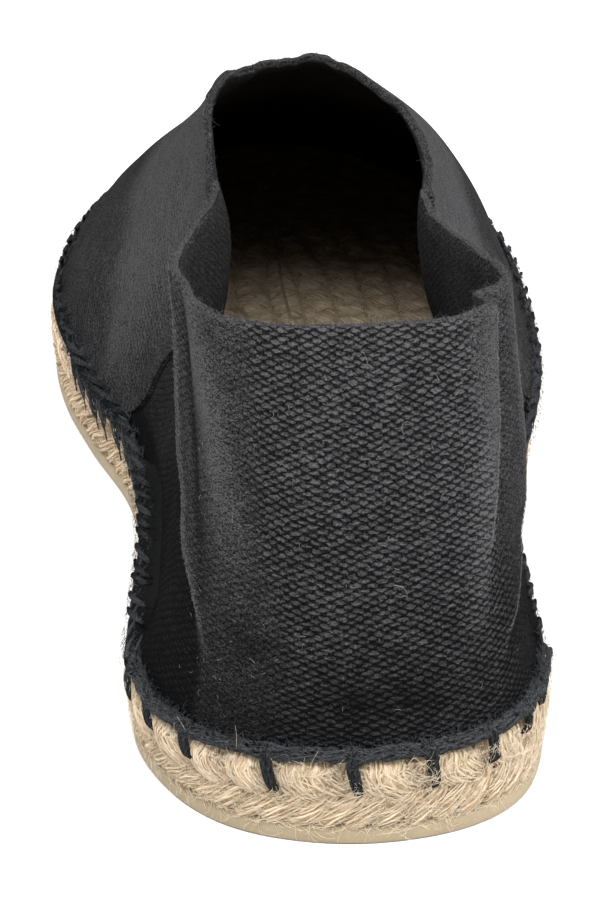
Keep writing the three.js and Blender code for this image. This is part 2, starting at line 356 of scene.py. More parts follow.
class Nodes:
    """A material's node tree, built by plain calls."""

    def __init__(self, name):
        self.material = bpy.data.materials.new(name)
        self.material.use_nodes = True
        self.tree = self.material.node_tree
        self.shader = self.tree.nodes["Principled BSDF"]

    def add(self, kind, inputs=(), **settings):
        node = self.tree.nodes.new("ShaderNode" + kind)
        for key, value in settings.items():
            setattr(node, key, value)
        for key, value in dict(inputs).items():
            self.give(node.inputs[key], value)
        return node

    def give(self, socket, value):
        if isinstance(value, Value):
            value = value.socket
        if isinstance(value, bpy.types.NodeSocket):
            self.tree.links.new(value, socket)
        else:
            socket.default_value = value

    def value(self, kind, output, inputs=(), **settings):
        return Value(self, self.add(kind, inputs, **settings).outputs[output])

    def math(self, operation, *values):
        return self.value("Math", 0, enumerate(values), operation=operation)

    def mix(self, share, a, b, data_type="RGBA"):
        """Between two colours, or two numbers where data_type is FLOAT."""
        inputs = {"Factor": share, "A": a, "B": b}
        return self.value("Mix", "Result", inputs, data_type=data_type)

    def noise(self, vector, scale, detail=2.0, roughness=0.5):
        inputs = {"Vector": vector, "Scale": scale, "Detail": detail, "Roughness": roughness}
        return self.value("TexNoise", "Fac", inputs)

    def cloth(self):
        """The surface's own pattern in millimetres, as a vector and as its two numbers."""
        pattern = self.add("UVMap", uv_map="cloth").outputs["UV"]
        node = self.add("SeparateXYZ", {"Vector": pattern})
        return pattern, Value(self, node.outputs["X"]), Value(self, node.outputs["Y"])

    def join(self, x, y):
        return self.add("CombineXYZ", {"X": x, "Y": y}).outputs["Vector"]

    def mark(self, title):
        return self.value("Attribute", "Fac", attribute_name=title)

    def finish(self, colour, height, depth, roughness, **uniform):
        """Links the surface's colour, roughness and bump. depth is in millimetres."""
        bump = self.add("Bump", {"Height": height, "Distance": depth * MM, "Strength": 1.0})
        self.give(self.shader.inputs["Base Color"], colour)
        self.give(self.shader.inputs["Roughness"], roughness)
        self.give(self.shader.inputs["Normal"], bump.outputs["Normal"])
        for title, value in uniform.items():
            self.shader.inputs[title.replace("_", " ")].default_value = value
        return self.material


WARP_PAIR = 2.6  # across two warp threads, after which a row of the plain weave repeats
WEFT_PAIR = 1.27  # up two weft threads
WARP_LEAN = -0.1  # how far the warp leans for each step up
WEFT_RISE = -0.07  # how far the weft climbs for each step across


def canvas_material():
    """Black plain-weave cotton: fat weft floats in checker order, and fuzz where it has been rubbed."""
    n = Nodes("black_canvas")
    cloth, u, v = n.cloth()
    shade = n.mark("shade")
    # The threads lean, and wander a little.
    u, v = u + v * WARP_LEAN, v + u * WEFT_RISE
    u = u + n.noise(cloth, 0.09, 1.0) * 1.6 - 0.8
    u = u + n.noise(cloth, 0.8) * 1.1 - 0.55
    v = v + n.noise(cloth, 0.07) * 1.4 - 0.7
    v = v + n.noise(cloth, 0.9) * 0.9 - 0.45
    # The floats lie on a slanted lattice: each cell holds one low oval bump.
    across, up = u / WARP_PAIR, v / WEFT_PAIR
    first, second = across + up, across - up
    cell = n.join(n.math("FLOOR", first), n.math("FLOOR", second))
    luck = n.value("TexWhiteNoise", "Value", {"Vector": cell}, noise_dimensions="2D")
    first, second = n.math("FRACT", first) - 0.5, n.math("FRACT", second) - 0.5
    along = first + second
    beside = along * luck.ramp(-0.12, 0.10) + (first - second)
    # Fine fibres run along the floats and lie loose as fuzz over the whole cloth.
    grain = n.noise(n.join(u * 1.1, u * 0.9 + v * 3.2), 1.5, 2.0, 0.75)
    crumbs = n.noise(cloth, 3.1, 2.0, 0.8)
    wisps = n.noise(n.join(u * 1.2, v * 2.4), 1.7, 2.0, 0.7)
    ring = (along / luck.ramp(0.60, 0.78)) ** 2.0 + (beside / 0.62) ** 2.0
    ring = ring + grain.ramp(-0.5, 0.5, 0.25, 0.75)
    bump = n.math("SQRT", n.math("MAXIMUM", 1.0 - ring, 0.0))
    curls = n.math("ABSOLUTE", n.noise(cloth, 1.3, 3.0, 0.6) - 0.5)
    nap = curls.ramp(0.75, 0.0, 0.0, 0.1) + crumbs.ramp(0.0, 0.6, 0.3, 0.7)
    patch = n.noise(cloth, 0.06, 3.0, 0.55)
    cover = n.mark("fuzz") * patch.ramp(0.75, 1.2, 0.35, 0.65) + crumbs.ramp(-0.1, 0.2, 0.3, 0.7)
    cover = n.math("MINIMUM", cover, 1.0)
    body = n.mix(cover, bump, bump * 0.15 + nap * 0.6, "FLOAT")
    # The floats' crowns are painted lighter and the gaps between them darker: partly the cloth's own dark
    # gaps, partly painted relief shade.
    light = body.ramp(0.03, 1.0, 0.0, 0.95) * grain.ramp(0.35, 1.6, 0.3, 0.7)
    light = light * crumbs.ramp(0.3, 1.7, 0.33, 0.67) * wisps.ramp(0.25, 1.75, 0.34, 0.66)
    light = light * luck.ramp(0.8, 1.2) * patch.ramp(0.85, 1.15, 0.35, 0.65)
    # The shade mark brings in the painted shade and highlight laid on each panel.
    tone = light * (shade + 1.0) + shade * 0.035
    colour = n.mix(tone, (0.0030, 0.0030, 0.0034, 1), (0.082, 0.080, 0.083, 1))
    return n.finish(colour, body + grain * 0.5, 0.4, 1.0, Specular_IOR_Level=0.0,
                    Sheen_Weight=0.012, Sheen_Roughness=0.4)


def jute_material():
    """Pale jute: long fibres along each strand, browner in the hollows between them, where the shade mark
    paints shade.
    """
    n = Nodes("natural_jute")
    _, u, v = n.cloth()
    lie = n.join((v * 0.2 + u) * 2.6, v * 0.16)
    body = n.noise(lie, 0.9) * 0.5 + n.noise(lie, 3.2, 3.0, 0.75) * 0.5
    blotch = n.noise(n.join(u, v), 0.22)
    tone = body.ramp(-0.15, 1.15, 0.32, 0.66) + blotch.ramp(-0.18, 0.18, 0.3, 0.7) + n.mark("shade")
    low = n.mix(tone.ramp(0.0, 1.0, -0.6, 0.25), (0.10, 0.058, 0.026, 1), (0.46, 0.33, 0.195, 1))
    colour = n.mix(tone.ramp(0.0, 1.0, 0.1, 0.85), low, (0.90, 0.74, 0.55, 1))
    return n.finish(colour, body, 0.6, 0.85, Specular_IOR_Level=0.15, Sheen_Weight=0.04)


def thread_material():
    """Blue-black cotton thread with its fibres laid on a slant."""
    n = Nodes("blue_black_thread")
    _, u, v = n.cloth()
    fibres = n.noise(n.join(v * 0.5 + u, v * 0.16), 5.0, 3.0, 0.75)
    wisps = n.noise(n.join(u, v), 2.2, 3.0, 0.7)
    tone = fibres.ramp(-0.1, 1.6, 0.36, 0.66) * wisps.ramp(0.2, 1.6, 0.32, 0.68)
    # The shade mark brings in the painted highlight and shade of the loops.
    colour = n.mix(tone * (n.mark("shade") + 1.0), (0.0016, 0.0017, 0.0019, 1), (0.047, 0.050, 0.054, 1))
    return n.finish(colour, fibres, 0.4, 1.0, Specular_IOR_Level=0.0, Sheen_Weight=0.02)


def rubber_material():
    """Thin moulded rubber, olive-beige with a faint mottle."""
    n = Nodes("beige_rubber")
    cloth, _, _ = n.cloth()
    specks = n.noise(cloth, 1.3, 3.0, 0.7)
    tone = specks * 0.4 + n.noise(cloth, 0.12, 3.0) * 0.6
    colour = n.mix(tone.ramp(0.0, 1.0, 0.3, 0.7), (0.255, 0.20, 0.122, 1), (0.31, 0.25, 0.162, 1))
    return n.finish(colour, specks, 0.12, specks.ramp(0.5, 0.7), Specular_IOR_Level=0.35)


def fibre_material(name, colour):
    """Loose hairs, each a little lighter or darker than the next."""
    n = Nodes(name)
    _, u, v = n.cloth()
    vary = n.noise(n.join(v, u), 0.7, 1.0)
    dark = tuple(0.45 * c for c in colour) + (1,)
    tone = n.mix(vary.ramp(0.0, 1.0, 0.3, 0.7), dark, colour + (1,))
    return n.finish(tone, vary, 0.05, 0.7, Specular_IOR_Level=0.3)


CANVAS_LOOK = canvas_material()
JUTE_LOOK = jute_material()
THREAD_LOOK = thread_material()
RUBBER_LOOK = rubber_material()
JUTE_HAIR_LOOK = fibre_material("jute_hair", (0.86, 0.73, 0.55))
RIM_FUZZ_LOOK = fibre_material("rim_fuzz", (0.10, 0.098, 0.10))
# The crests' nap is painted paler than the other fuzz, as sheen.
NAP_SHEEN_LOOK = fibre_material("crest_nap_sheen", (0.17, 0.168, 0.165))
GREY_FUZZ_LOOK = fibre_material("grey_fuzz", (0.11, 0.116, 0.125))
THREAD_FUZZ_LOOK = fibre_material("thread_fuzz", (0.030, 0.034, 0.042))
LINT_LOOK = fibre_material("pale_lint", (0.26, 0.26, 0.26))


# ---- The upper -----------------------------------------------------------------------------------
# Creases of the canvas. Each path is given from the top down as (walk, rise, strength). width is
# its half width, out how far it stands out (in, where negative) and pale how much lighter the cloth
# is painted (darker, where negative): partly rubbed wear, partly painted highlight and sheen on the
# crests and painted shade in the troughs and behind the ledges. An "edge" has a sharp crest, a
# "fold" a round one, and a "ledge" drops away on the far side of its line and comes back over the
# reach.
CREASES = [
    {"kind": "edge", "width": 0.45, "out": 0.5, "pale": 4.5,
     "path": [(66, 1.0, 0.4), (59.5, 0.93, 0.7), (56.7, 0.87, 1), (54.6, 0.77, 1), (50.2, 0.66, 1),
              (43.1, 0.56, 1), (38.2, 0.45, 1), (34, 0.38, 0.9), (31.4, 0.32, 0.7),
              (28.8, 0.24, 0.3), (27, 0.15, 0)]},
    {"kind": "ledge", "width": 4.5, "reach": (16, 42), "out": -1.5, "pale": -0.3,
     "path": [(66, 1.0, 0), (59.5, 0.93, 0.35), (56.7, 0.87, 0.65), (54.6, 0.77, 0.8),
              (50.2, 0.66, 0.95), (43.1, 0.56, 1), (38.2, 0.45, 1), (34, 0.38, 1),
              (31.4, 0.32, 0.9), (28.8, 0.24, 0.5), (27, 0.12, 0)]},
    {"kind": "fold", "width": 2.4, "out": -0.4, "pale": -0.6,
     "path": [(56, 1.0, 0.4), (50.4, 0.887, 1), (45.7, 0.79, 1), (41.3, 0.69, 1), (36.4, 0.585, 1),
              (32, 0.45, 0.7), (28, 0.3, 0)]},
    {"kind": "fold", "width": 4.2, "out": 0.9, "pale": 1.95,
     "path": [(48.9, 1.0, 0.8), (43.1, 0.91, 1), (37.9, 0.82, 1), (33, 0.74, 0.8),
              (31.2, 0.69, 0.65), (27.5, 0.6, 0.45), (24.2, 0.49, 0.3), (21, 0.3, 0)]},
    {"kind": "fold", "width": 3.2, "out": -0.7, "pale": -0.12,
     "path": [(29.5, 1.0, 0.8), (26.5, 0.84, 1), (23.7, 0.72, 1), (21.6, 0.61, 1),
              (19.2, 0.47, 0.6), (17, 0.3, 0)]},
    {"kind": "fold", "width": 7.0, "out": 0.5, "pale": 0.0,
     "path": [(12, 1.0, 0.6), (10, 0.7, 1), (6, 0.4, 1), (3, 0.2, 0)]},
    {"kind": "ledge", "width": -2.2, "reach": (7, 13), "out": -0.7, "pale": -0.22,
     "path": [(-47.5, 1.0, 0.4), (-46.6, 0.956, 0.7), (-45.2, 0.912, 1), (-43.6, 0.849, 1),
              (-41.4, 0.761, 1), (-37.2, 0.673, 1), (-33.8, 0.579, 1), (-29.9, 0.472, 0.7),
              (-27, 0.377, 0.3), (-24.4, 0.26, 0)]},
    {"kind": "edge", "width": 1.5, "out": 0.9, "pale": 1.1,
     "path": [(-47.5, 1.0, 1.2), (-46.6, 0.956, 1.1), (-45.2, 0.912, 1), (-43.6, 0.849, 1),
              (-41.4, 0.761, 1), (-37.2, 0.673, 1), (-33.8, 0.579, 0.9), (-29.9, 0.472, 0.6),
              (-27, 0.377, 0.3), (-24.4, 0.26, 0)]},
    {"kind": "fold", "width": 4.4, "out": 0.9, "pale": 0.9,
     "path": [(-45.5, 1.0, 0.3), (-44.6, 0.93, 0.6), (-42.0, 0.849, 0.9), (-40.0, 0.761, 1),
              (-36, 0.673, 1), (-32.5, 0.579, 1), (-28.5, 0.472, 1), (-25.5, 0.377, 0.8),
              (-22.4, 0.22, 0)]},
    {"kind": "fold", "width": 3.2, "out": -2.4, "pale": -0.05,
     "path": [(-53.0, 1.0, 1), (-52.6, 0.93, 0.85), (-52.2, 0.85, 0.6), (-50.5, 0.74, 0.5),
              (-47.7, 0.66, 0.5), (-43, 0.55, 0.5), (-37, 0.4, 0.4), (-31, 0.25, 0)]},
    {"kind": "fold", "width": 4.5, "out": 1.5, "pale": 0.1,
     "path": [(-62.5, 1.0, 0.3), (-61.8, 0.85, 0.7), (-61.2, 0.74, 1), (-59.8, 0.61, 1),
              (-57.4, 0.47, 0.5), (-50, 0.36, 0.3), (-40, 0.25, 0)]},
    {"kind": "edge", "width": 1.1, "out": 0.4, "pale": 1.6,
     "path": [(-62.5, 1.0, 0.8), (-61.8, 0.85, 1), (-61.2, 0.74, 1), (-59.8, 0.61, 1),
              (-57.4, 0.47, 0.9), (-46, 0.36, 0.9), (-38.2, 0.264, 0.9), (-33.5, 0.22, 0.7),
              (-31.4, 0.176, 0.4), (-29, 0.12, 0)]},
    {"kind": "ledge", "width": -4.0, "reach": (10, 30), "out": -1.2, "pale": -0.3,
     "path": [(-52, 0.47, 0), (-46, 0.36, 0.8), (-38.2, 0.264, 1), (-33.5, 0.22, 0.9),
              (-31.4, 0.176, 0.6), (-29, 0.12, 0)]},
]


def crease_sum(walk, rise):
    """How far the creases push the canvas out, and how pale they make it at each point: rubbed wear together
    with painted highlight and painted shade.
    """
    out = np.zeros(walk.shape)
    pale = np.zeros(walk.shape)
    for crease in CREASES:
        walks, rises, strengths = np.array(crease["path"], float).T[:, ::-1]
        middle = np.interp(rise, rises, walks)
        strength = np.interp(rise, rises, strengths)
        strength = np.where(rise < rises[0], 0, strength)
        away = walk - middle
        if crease["kind"] == "edge":
            shape = np.exp(-np.abs(away) / crease["width"])
        elif crease["kind"] == "fold":
            shape = np.exp(-((away / crease["width"]) ** 2))
        else:
            side = math.copysign(1.0, crease["width"])
            near, far = crease["reach"]
            shape = smooth(0, abs(crease["width"]), side * away) * smooth(far, near, side * away)
        out += crease["out"] * shape * strength
        pale += crease["pale"] * shape * strength
    return out, pale


def rumple(walk, rise):
    """Slow unevenness of worn cloth: a few fixed waves, which fade at the toe, where walk wraps."""
    waves = [(0.105, 3.1, 0.4), (0.061, -7.0, 2.1), (0.17, 9.0, 4.0), (0.27, -4.0, 1.2),
             (0.39, 13.0, 5.1)]
    total = sum(np.sin(k * walk + m * rise + p) / (1 + 6 * k) for k, m, p in waves)
    return 0.22 * total * smooth(AROUND / 2, AROUND / 2 - 30, np.abs(walk))


ROWS = 92  # of a panel's grid, from the sole to the collar

# The side seams: walk at each rise, where the vamp's rear edge lies over the quarter.
SEAM_RISE = np.array([0, 0.12, 0.2, 0.28, 0.36, 0.6, 1.0])
MEDIAL_SEAM = np.array([147.5, 145.6, 145.6, 147.6, 149.6, 149.0, 144.2])
LATERAL_SEAM = np.array([-150.0, -148.4, -148.4, -150.0, -151.6, -151.0, -147.9])


def throat_trim(signed):
    """The throat's arch leans: a little lower on the big toe's side and higher on the other."""
    from_middle = signed - np.copysign(AROUND / 2, signed)
    lean = 0.75 * np.tanh(from_middle / 9) * np.exp(-((from_middle / 45) ** 2))
    return lean - 0.4 * smooth(220, 250, np.abs(signed))


def bare_edge(signed):
    """1 beside the ball of the foot, big toe's side, where the sole's pale edge shows past the stitch."""
    return smooth(165, 185, signed) * smooth(262, 240, signed)


def canvas_panel(first, last, share, ends):
    """One panel of the upper, from walk first(rise) to last(rise): its outer face and thickness."""
    rise = np.linspace(0, 1, ROWS)
    walk = first[None, :] + (last - first)[None, :] * share[:, None]
    rise = np.broadcast_to(rise, walk.shape)
    signed = signed_walk(walk)
    base = upper_base(walk, rise)
    out, pale = crease_sum(signed, rise)
    normal = facing(base)
    normal[:, 0, 2] = 0
    normal = unit(normal)
    lift, drop = ends(walk)
    turned_out = (1.1 - 0.9 * bare_edge(signed)) * smooth(0.1, 0.0, rise)
    leaning_in = 0.9 * bare_edge(signed) * np.exp(-(((rise - 0.1) / 0.12) ** 2))
    raised = out + rumple(signed, rise) * smooth(0, 0.2, rise) + lift + turned_out - leaning_in
    outer = base + normal * raised[..., None]
    outer[..., 2] += rise**4 * throat_trim(signed)
    # The lowest row is tucked in behind the plait's edge, deepest round the toe.
    tuck = smooth(160, 200, np.abs(signed[:, 0]))
    outer[:, 0] -= normal[:, 0] * (1.3 * tuck)[:, None]
    outer[:, 0, 2] -= 1.1 + 1.7 * tuck
    thick = CANVAS - drop
    return outer, normal, thick, rise, signed, pale


def flat_pattern(points):
    """Where the points of a panel would lie, in millimetres, if its cloth were laid flat."""
    n, m = points.shape[:2]
    pick_n = np.linspace(0, n - 1, 70).round().astype(int)
    pick_m = np.linspace(0, m - 1, 24).round().astype(int)
    coarse = points[np.ix_(pick_n, pick_m)]
    soup = Soup()
    soup.grid(coarse, np.zeros((70, 24, 2)))
    piece = soup.build("pattern", CANVAS_LOOK)
    bpy.context.view_layer.objects.active = piece
    piece.select_set(True)
    bpy.ops.object.mode_set(mode="EDIT")
    bpy.ops.mesh.select_all(action="SELECT")
    bpy.ops.uv.unwrap(method="MINIMUM_STRETCH", margin=0.0)
    bpy.ops.object.mode_set(mode="OBJECT")
    loops = np.zeros(len(piece.data.loops), np.int32)
    piece.data.loops.foreach_get("vertex_index", loops)
    corner = np.zeros(len(loops) * 2, np.float32)
    piece.data.uv_layers["cloth"].uv.foreach_get("vector", corner)
    flat = np.zeros((70 * 24, 2))
    flat[loops] = corner.reshape(-1, 2)
    flat = flat.reshape(70, 24, 2)
    bpy.data.objects.remove(piece)
    real = np.linalg.norm(np.diff(coarse, axis=1), axis=-1).sum()
    flat *= real / np.linalg.norm(np.diff(flat, axis=1), axis=-1).sum()
    middle = flat[35, -1] - flat[35, 0]
    angle = math.pi / 2 - math.atan2(middle[1], middle[0])
    turn = np.array([[math.cos(angle), -math.sin(angle)], [math.sin(angle), math.cos(angle)]])
    flat = (flat - flat[35, 0]) @ turn.T
    wide = np.stack([[np.interp(np.arange(n), pick_n, flat[:, j, c]) for j in range(24)] for c in (0, 1)])
    return np.stack([[np.interp(np.arange(m), pick_m, wide[c, :, i]) for i in range(n)] for c in (0, 1)], -1)


def add_panel(soup, outer, normal, thick, rise, marks, rim_shade):
    """The panel's outer face, its rounded raw rim and its inner face, in one sheet."""
    flat = flat_pattern(outer)
    inner = outer - normal * thick[..., None]
    fray = RANDOM.normal(0, 0.12, len(outer))
    fray = np.convolve(fray, [0.25, 0.5, 0.25], "same") - 0.1
    rim = []
    for turn in (0.15, 0.4, 0.6, 0.85):
        over = math.sin(math.pi * turn) * 0.45
        step = outer[:, -1] * (1 - turn) + inner[:, -1] * turn
        rim.append(step + np.array([0, 0, 1.0]) * (over + fray)[:, None])
    below = np.r_[np.arange(outer.shape[1] - 1, 3, -4), 2, 0]  # the inner face needs fewer rows
    points = np.concatenate([outer, np.stack(rim, 1), inner[:, below]], 1)
    top_uv = flat[:, -1:] + np.array([0, 0.4]) * np.arange(1, 5)[None, :, None]
    uv = np.concatenate([flat, top_uv, flat[:, below] + (3.3, 1.7)], 1)
    # The raw rim is painted: lighter on the heel's collar, partly its fuzz and partly a painted highlight on
    # the top edge; darker round the vamp's throat, as painted shade.
    rim_mark = np.zeros((len(outer), 4, 2)) + (1.0, rim_shade)
    # The inner face is painted darker, as the shade inside the shoe.
    inner_mark = np.zeros((len(outer), len(below), 2)) + (0.9, -0.47)
    soup.grid(points, uv, np.concatenate([marks, rim_mark, inner_mark], 1))
    return points


# Dark patches low on the heel: walk, rise, and how dark.
DARK_PATCHES = [(0.5, 0.13, 0.6), (-10.7, 0.12, 0.6), (17, 0.26, 0.35)]


def quarter():
    """The back panel, from side seam to side seam round the heel. It runs on under the vamp."""
    tuck = 5.0
    rows = np.linspace(0, 1, ROWS)
    first = np.interp(rows, SEAM_RISE, LATERAL_SEAM) - tuck
    last = np.interp(rows, SEAM_RISE, MEDIAL_SEAM) + tuck

    def ends(walk):
        near = np.minimum(walk - first[None, :], last[None, :] - walk) - tuck
        return -0.4 * smooth(2.5, -0.5, near), 0.0 * near

    share = fine_columns(0, 1, 560, 0.5, 0.22)
    outer, normal, thick, rise, signed, pale = canvas_panel(first, last, share, ends)
    # Darker towards the sole, painted shade along the sides, fuzzy on the folds.
    shade = np.interp(rise, [0, 0.13, 0.39, 0.63, 0.95], [-0.76, -0.66, -0.44, -0.3, -0.12])
    edge = np.interp(rise, [0.2, 0.33, 0.45, 0.56, 0.66, 0.77, 0.87, 1.0],
                     [28, 32, 38, 43, 50, 54.6, 56.7, 62])
    # Painted shade on the sides: darkest on the big toe's side past the first crease, less towards its seam,
    # and low on the outer side.
    inner_side = smooth(0.3, 3, signed - edge) * (0.7 - 0.42 * smooth(90, 125, signed))
    side = np.where(signed > 0, inner_side, smooth(58, 80, -signed) * 0.5)
    woven = np.interp(rise, [0.29, 0.6, 1.0], [12, 19, 26])
    side = np.maximum(side, 0.35 * smooth(24, 34, -signed) * smooth(0.5, 0.3, rise))
    rub = smooth(-3, 5, signed - woven) + smooth(32, 42, -signed)
    shade = shade * (1 - side) - side
    rub = rub * (1 - 0.55 * smooth(0, 4, signed - edge) * smooth(125, 90, signed))
    fuzz = np.clip(0.1 + 0.7 * rub + 0.2 * np.clip(pale, 0, 1), 0, 1)
    # Painted shade low on the sides, in the hollow beside the side stitch.
    shade -= 0.8 * (1 + shade) * smooth(0.17, 0.07, rise) * smooth(57, 64, np.abs(signed))
    for middle, height, depth in DARK_PATCHES:
        patch = np.exp(-(((signed - middle) / 5) ** 2) - ((rise - height) / 0.05) ** 2)
        shade -= depth * (1 + shade) * patch
    # Painted shadow: a dark line on the quarter beside the vamp's lapped edge.
    beside_seam = (last - tuck)[None, :] - signed
    shade -= 0.97 * (1 + shade) * smooth(1.6, 0.8, np.abs(beside_seam))
    # The creases' pale brings in their painted highlight and shade; the top rows get a painted highlight.
    shade = np.clip((1 + shade) * (1 + pale) - 1 + 0.25 * smooth(0.97, 1.0, rise), -0.95, 2.2)
    soup = Soup()
    add_panel(soup, outer, normal, thick, rise, np.stack([fuzz, shade], -1), 0.35)
    return soup.build("quarter_canvas", CANVAS_LOOK)


def vamp():
    """The front panel, from side seam to side seam round the toe, lying over the quarter's ends."""
    rows = np.linspace(0, 1, ROWS)
    first = np.interp(rows, SEAM_RISE, MEDIAL_SEAM)
    last = np.interp(rows, SEAM_RISE, LATERAL_SEAM) + AROUND

    def ends(walk):
        near = np.minimum(walk - first[None, :], last[None, :] - walk)
        over = smooth(7.0, 1.0, near)
        return 0.8 * over - 0.3 * smooth(0.6, 0.0, near), 0.5 * over

    outer, normal, thick, rise, signed, pale = canvas_panel(first, last, np.linspace(0, 1, 400), ends)
    # Painted light: the cloth near the throat, where it faces up, is painted lighter (the band marked worn);
    # beyond a soft line towards the sole it is painted darker, as shade.
    line = np.interp(np.abs(signed), [150, 163, 180, 200, 231, 320], [0.05, 0.12, 0.36, 0.54, 0.66, 0.7])
    worn = smooth(-0.10, 0.05, rise - line)
    shade = -0.32 + 1.16 * worn * smooth(150, 185, np.abs(signed))
    soup = Soup()
    marks = np.stack([np.full(rise.shape, 0.85), shade], -1)
    points = add_panel(soup, outer, normal, thick, rise, marks, -0.25)
    for column in (0, -1):
        fold_edge(soup, points[column], column)
    return soup.build("vamp_canvas", CANVAS_LOOK)


def fold_edge(soup, column, side):
    """Closes the vamp's rear edge: joins its outer face to its inner face along the side seam."""
    rows = ROWS
    outer = column[:rows]
    inner = column[rows + 4:][::-1]
    height = np.linspace(0, rows - 1, len(inner))
    inner = np.stack([np.interp(np.arange(rows), height, inner[:, c]) for c in range(3)], 1)
    sheet = np.stack([outer, inner], 1)
    if side == -1:
        sheet = sheet[:, ::-1]
    uv = np.stack([np.stack([np.zeros(rows), np.arange(rows) * 0.9], 1)] * 2, 1)
    uv[:, 1, 0] = 0.8
    # The fold's edge is painted darker, as the shade in the seam's line.
    soup.grid(sheet, uv, np.zeros((rows, 2, 2)) + (0.6, -0.3))


# ---- The sole ------------------------------------------------------------------------------------
def ring_surface(soup, levels, steps, mark=(0.0, 0.0), full=False):
    """A closed ring wall from levels (inset, draft, z), bottom first, round the whole sole."""
    walk = np.linspace(0, AROUND, steps)
    fuller = flare(walk) if full else 0.0
    rows = [edge_point(walk, inset - fuller + 0 * walk, z, draft) for inset, draft, z in levels]
    points = np.stack(rows, 1)
    run = np.r_[0, np.cumsum(np.linalg.norm(np.diff(points[0], axis=0), axis=1))]
    uv = np.stack(np.meshgrid(walk, run, indexing="ij"), -1)
    soup.grid(points, uv, np.zeros(points.shape[:2] + (2,)) + mark)


def floor_surface(soup, inset, z, across, along, height=None, draft=0.0, flip=False):
    """A lid over the whole sole: strips laid across from the big toe's side to the outer side."""
    share = np.linspace(0.002, 0.998, along)
    left = edge_point(share * TOE_WALK, np.full(along, inset), z, draft)
    right = edge_point(AROUND - share * (AROUND - TOE_WALK), np.full(along, inset), z, draft)
    t = np.linspace(0, 1, across)[None, :, None]
    points = left[:, None] * (1 - t) + right[:, None] * t
    mark = np.zeros(points.shape[:2] + (2,))
    uv = points[..., :2].copy()
    if height is not None:
        points, uv, mark = height(points)
    if flip:
        points, uv, mark = points[:, ::-1], uv[:, ::-1], mark[:, ::-1]
    soup.grid(points, uv, mark)


def flare(walk):
    """How much fuller the sole's lower edge is than the last's: the heel leans to the outer side."""
    signed = signed_walk(walk)
    heel = 0.35 * np.exp(-((signed / 40) ** 2)) + 1.2 * np.exp(-(((signed + 30) / 22) ** 2))
    return heel - 0.9 * np.exp(-(((signed - 33) / 20) ** 2)) + 1.0 * np.exp(-(((signed - 150) / 45) ** 2))


def outsole():
    """The thin rubber, with a softly rounded lower edge."""
    soup = Soup()
    profile = [(1.4, 0.0), (0.7, 0.04), (0.4, 0.3), (0.25, 0.75), (0.25, 2.2), (0.7, 3.0),
               (1.6, OUTSOLE_THICKNESS)]
    ring_surface(soup, [(inset, SOLE_DRAFT, z) for inset, z in profile], 640, full=True)
    floor_surface(soup, 1.3, 0.0, 40, 160, draft=SOLE_DRAFT, flip=True)
    floor_surface(soup, 1.6, OUTSOLE_THICKNESS, 40, 160, draft=SOLE_DRAFT)
    return soup.build("outsole_rubber", RUBBER_LOOK)


ROW_PITCH = 6.4  # distance between neighbouring turns of the coiled plait


def nearest_edge(plan):
    """Distance in from the sole's edge, and walk of the nearest place on it, for plan points."""
    sparse = slice(None, None, 8)
    edge, walks = EDGE[sparse], EDGE_WALK[sparse]
    distance = np.empty(len(plan))
    walk = np.empty(len(plan))
    for start in range(0, len(plan), 4000):
        gap = np.linalg.norm(plan[start:start + 4000, None] - edge[None], axis=-1)
        nearest = gap.argmin(1)
        distance[start:start + 4000] = gap[np.arange(len(nearest)), nearest]
        walk[start:start + 4000] = walks[nearest]
    return distance, walk


def plait_relief(points):
    """The footbed's coils: rows parallel to the edge, each row a braid of slanting strands."""
    inset, walk = nearest_edge(points[..., :2].reshape(-1, 2))
    inset = inset.reshape(points.shape[:2])
    walk = walk.reshape(points.shape[:2])
    turn = inset / ROW_PITCH
    row = np.floor(turn)
    across = turn - row - 0.5
    slant = np.abs(across) * 1.1
    strand = (walk / 6.8 + slant + 0.37 * row) % 1 - 0.5
    crown = np.sqrt(np.clip(1 - (across / 0.52) ** 2, 0, 1))
    ribs = np.sqrt(np.clip(1 - (strand / 0.52) ** 2, 0, 1))
    height = 1.2 * crown * (0.6 + 0.4 * ribs) - 0.5
    raised = points.copy()
    raised[..., 2] += height
    uv = np.stack([across * ROW_PITCH + strand * 3, walk + 13 * row], -1)
    # Painted shade: darker between the coils and strands, and deeper towards the toe inside the shoe.
    shade = 0.18 * (crown * ribs - 0.8) - 0.14 - 0.8 * smooth(188, 232, points[..., 1])
    return raised, uv, np.stack([np.zeros_like(shade), shade], -1)


def plait_core():
    """The plait's body: the depth behind its outer strands, painted dark as shade, and the footbed's coils.
    """
    soup = Soup()
    row = PLAIT_HEIGHT / 2
    levels = [(2.2, SOLE_DRAFT, MIDSOLE_BOTTOM - 0.2),
              (1.9, 0.8 * SOLE_DRAFT, MIDSOLE_BOTTOM + 0.5 * row),
              (2.2, 0.4 * SOLE_DRAFT, MIDSOLE_BOTTOM + row),
              (1.9, 0.2 * SOLE_DRAFT, MIDSOLE_BOTTOM + 1.5 * row),
              (2.6, 0, MIDSOLE_TOP - 0.6), (5.0, 0, MIDSOLE_TOP - 0.3)]
    ring_surface(soup, levels, 640, (0.0, -0.5))
    floor_surface(soup, 2.2, MIDSOLE_BOTTOM - 0.2, 16, 100, draft=SOLE_DRAFT, flip=True)
    floor_surface(soup, 4.0, MIDSOLE_TOP, 120, 320, height=plait_relief)
    return soup.build("plait_core", JUTE_LOOK)


# Where the stitches at the heel come up over the plait's side, by walk.
HEEL_STITCHES = [50.4, 40.6, 29.4, 13.9, 0.5, -12.0, -23.4, -33.8, -43.4]
STRAND_PITCH = 9.8
LOWER_PITCH = 4.6


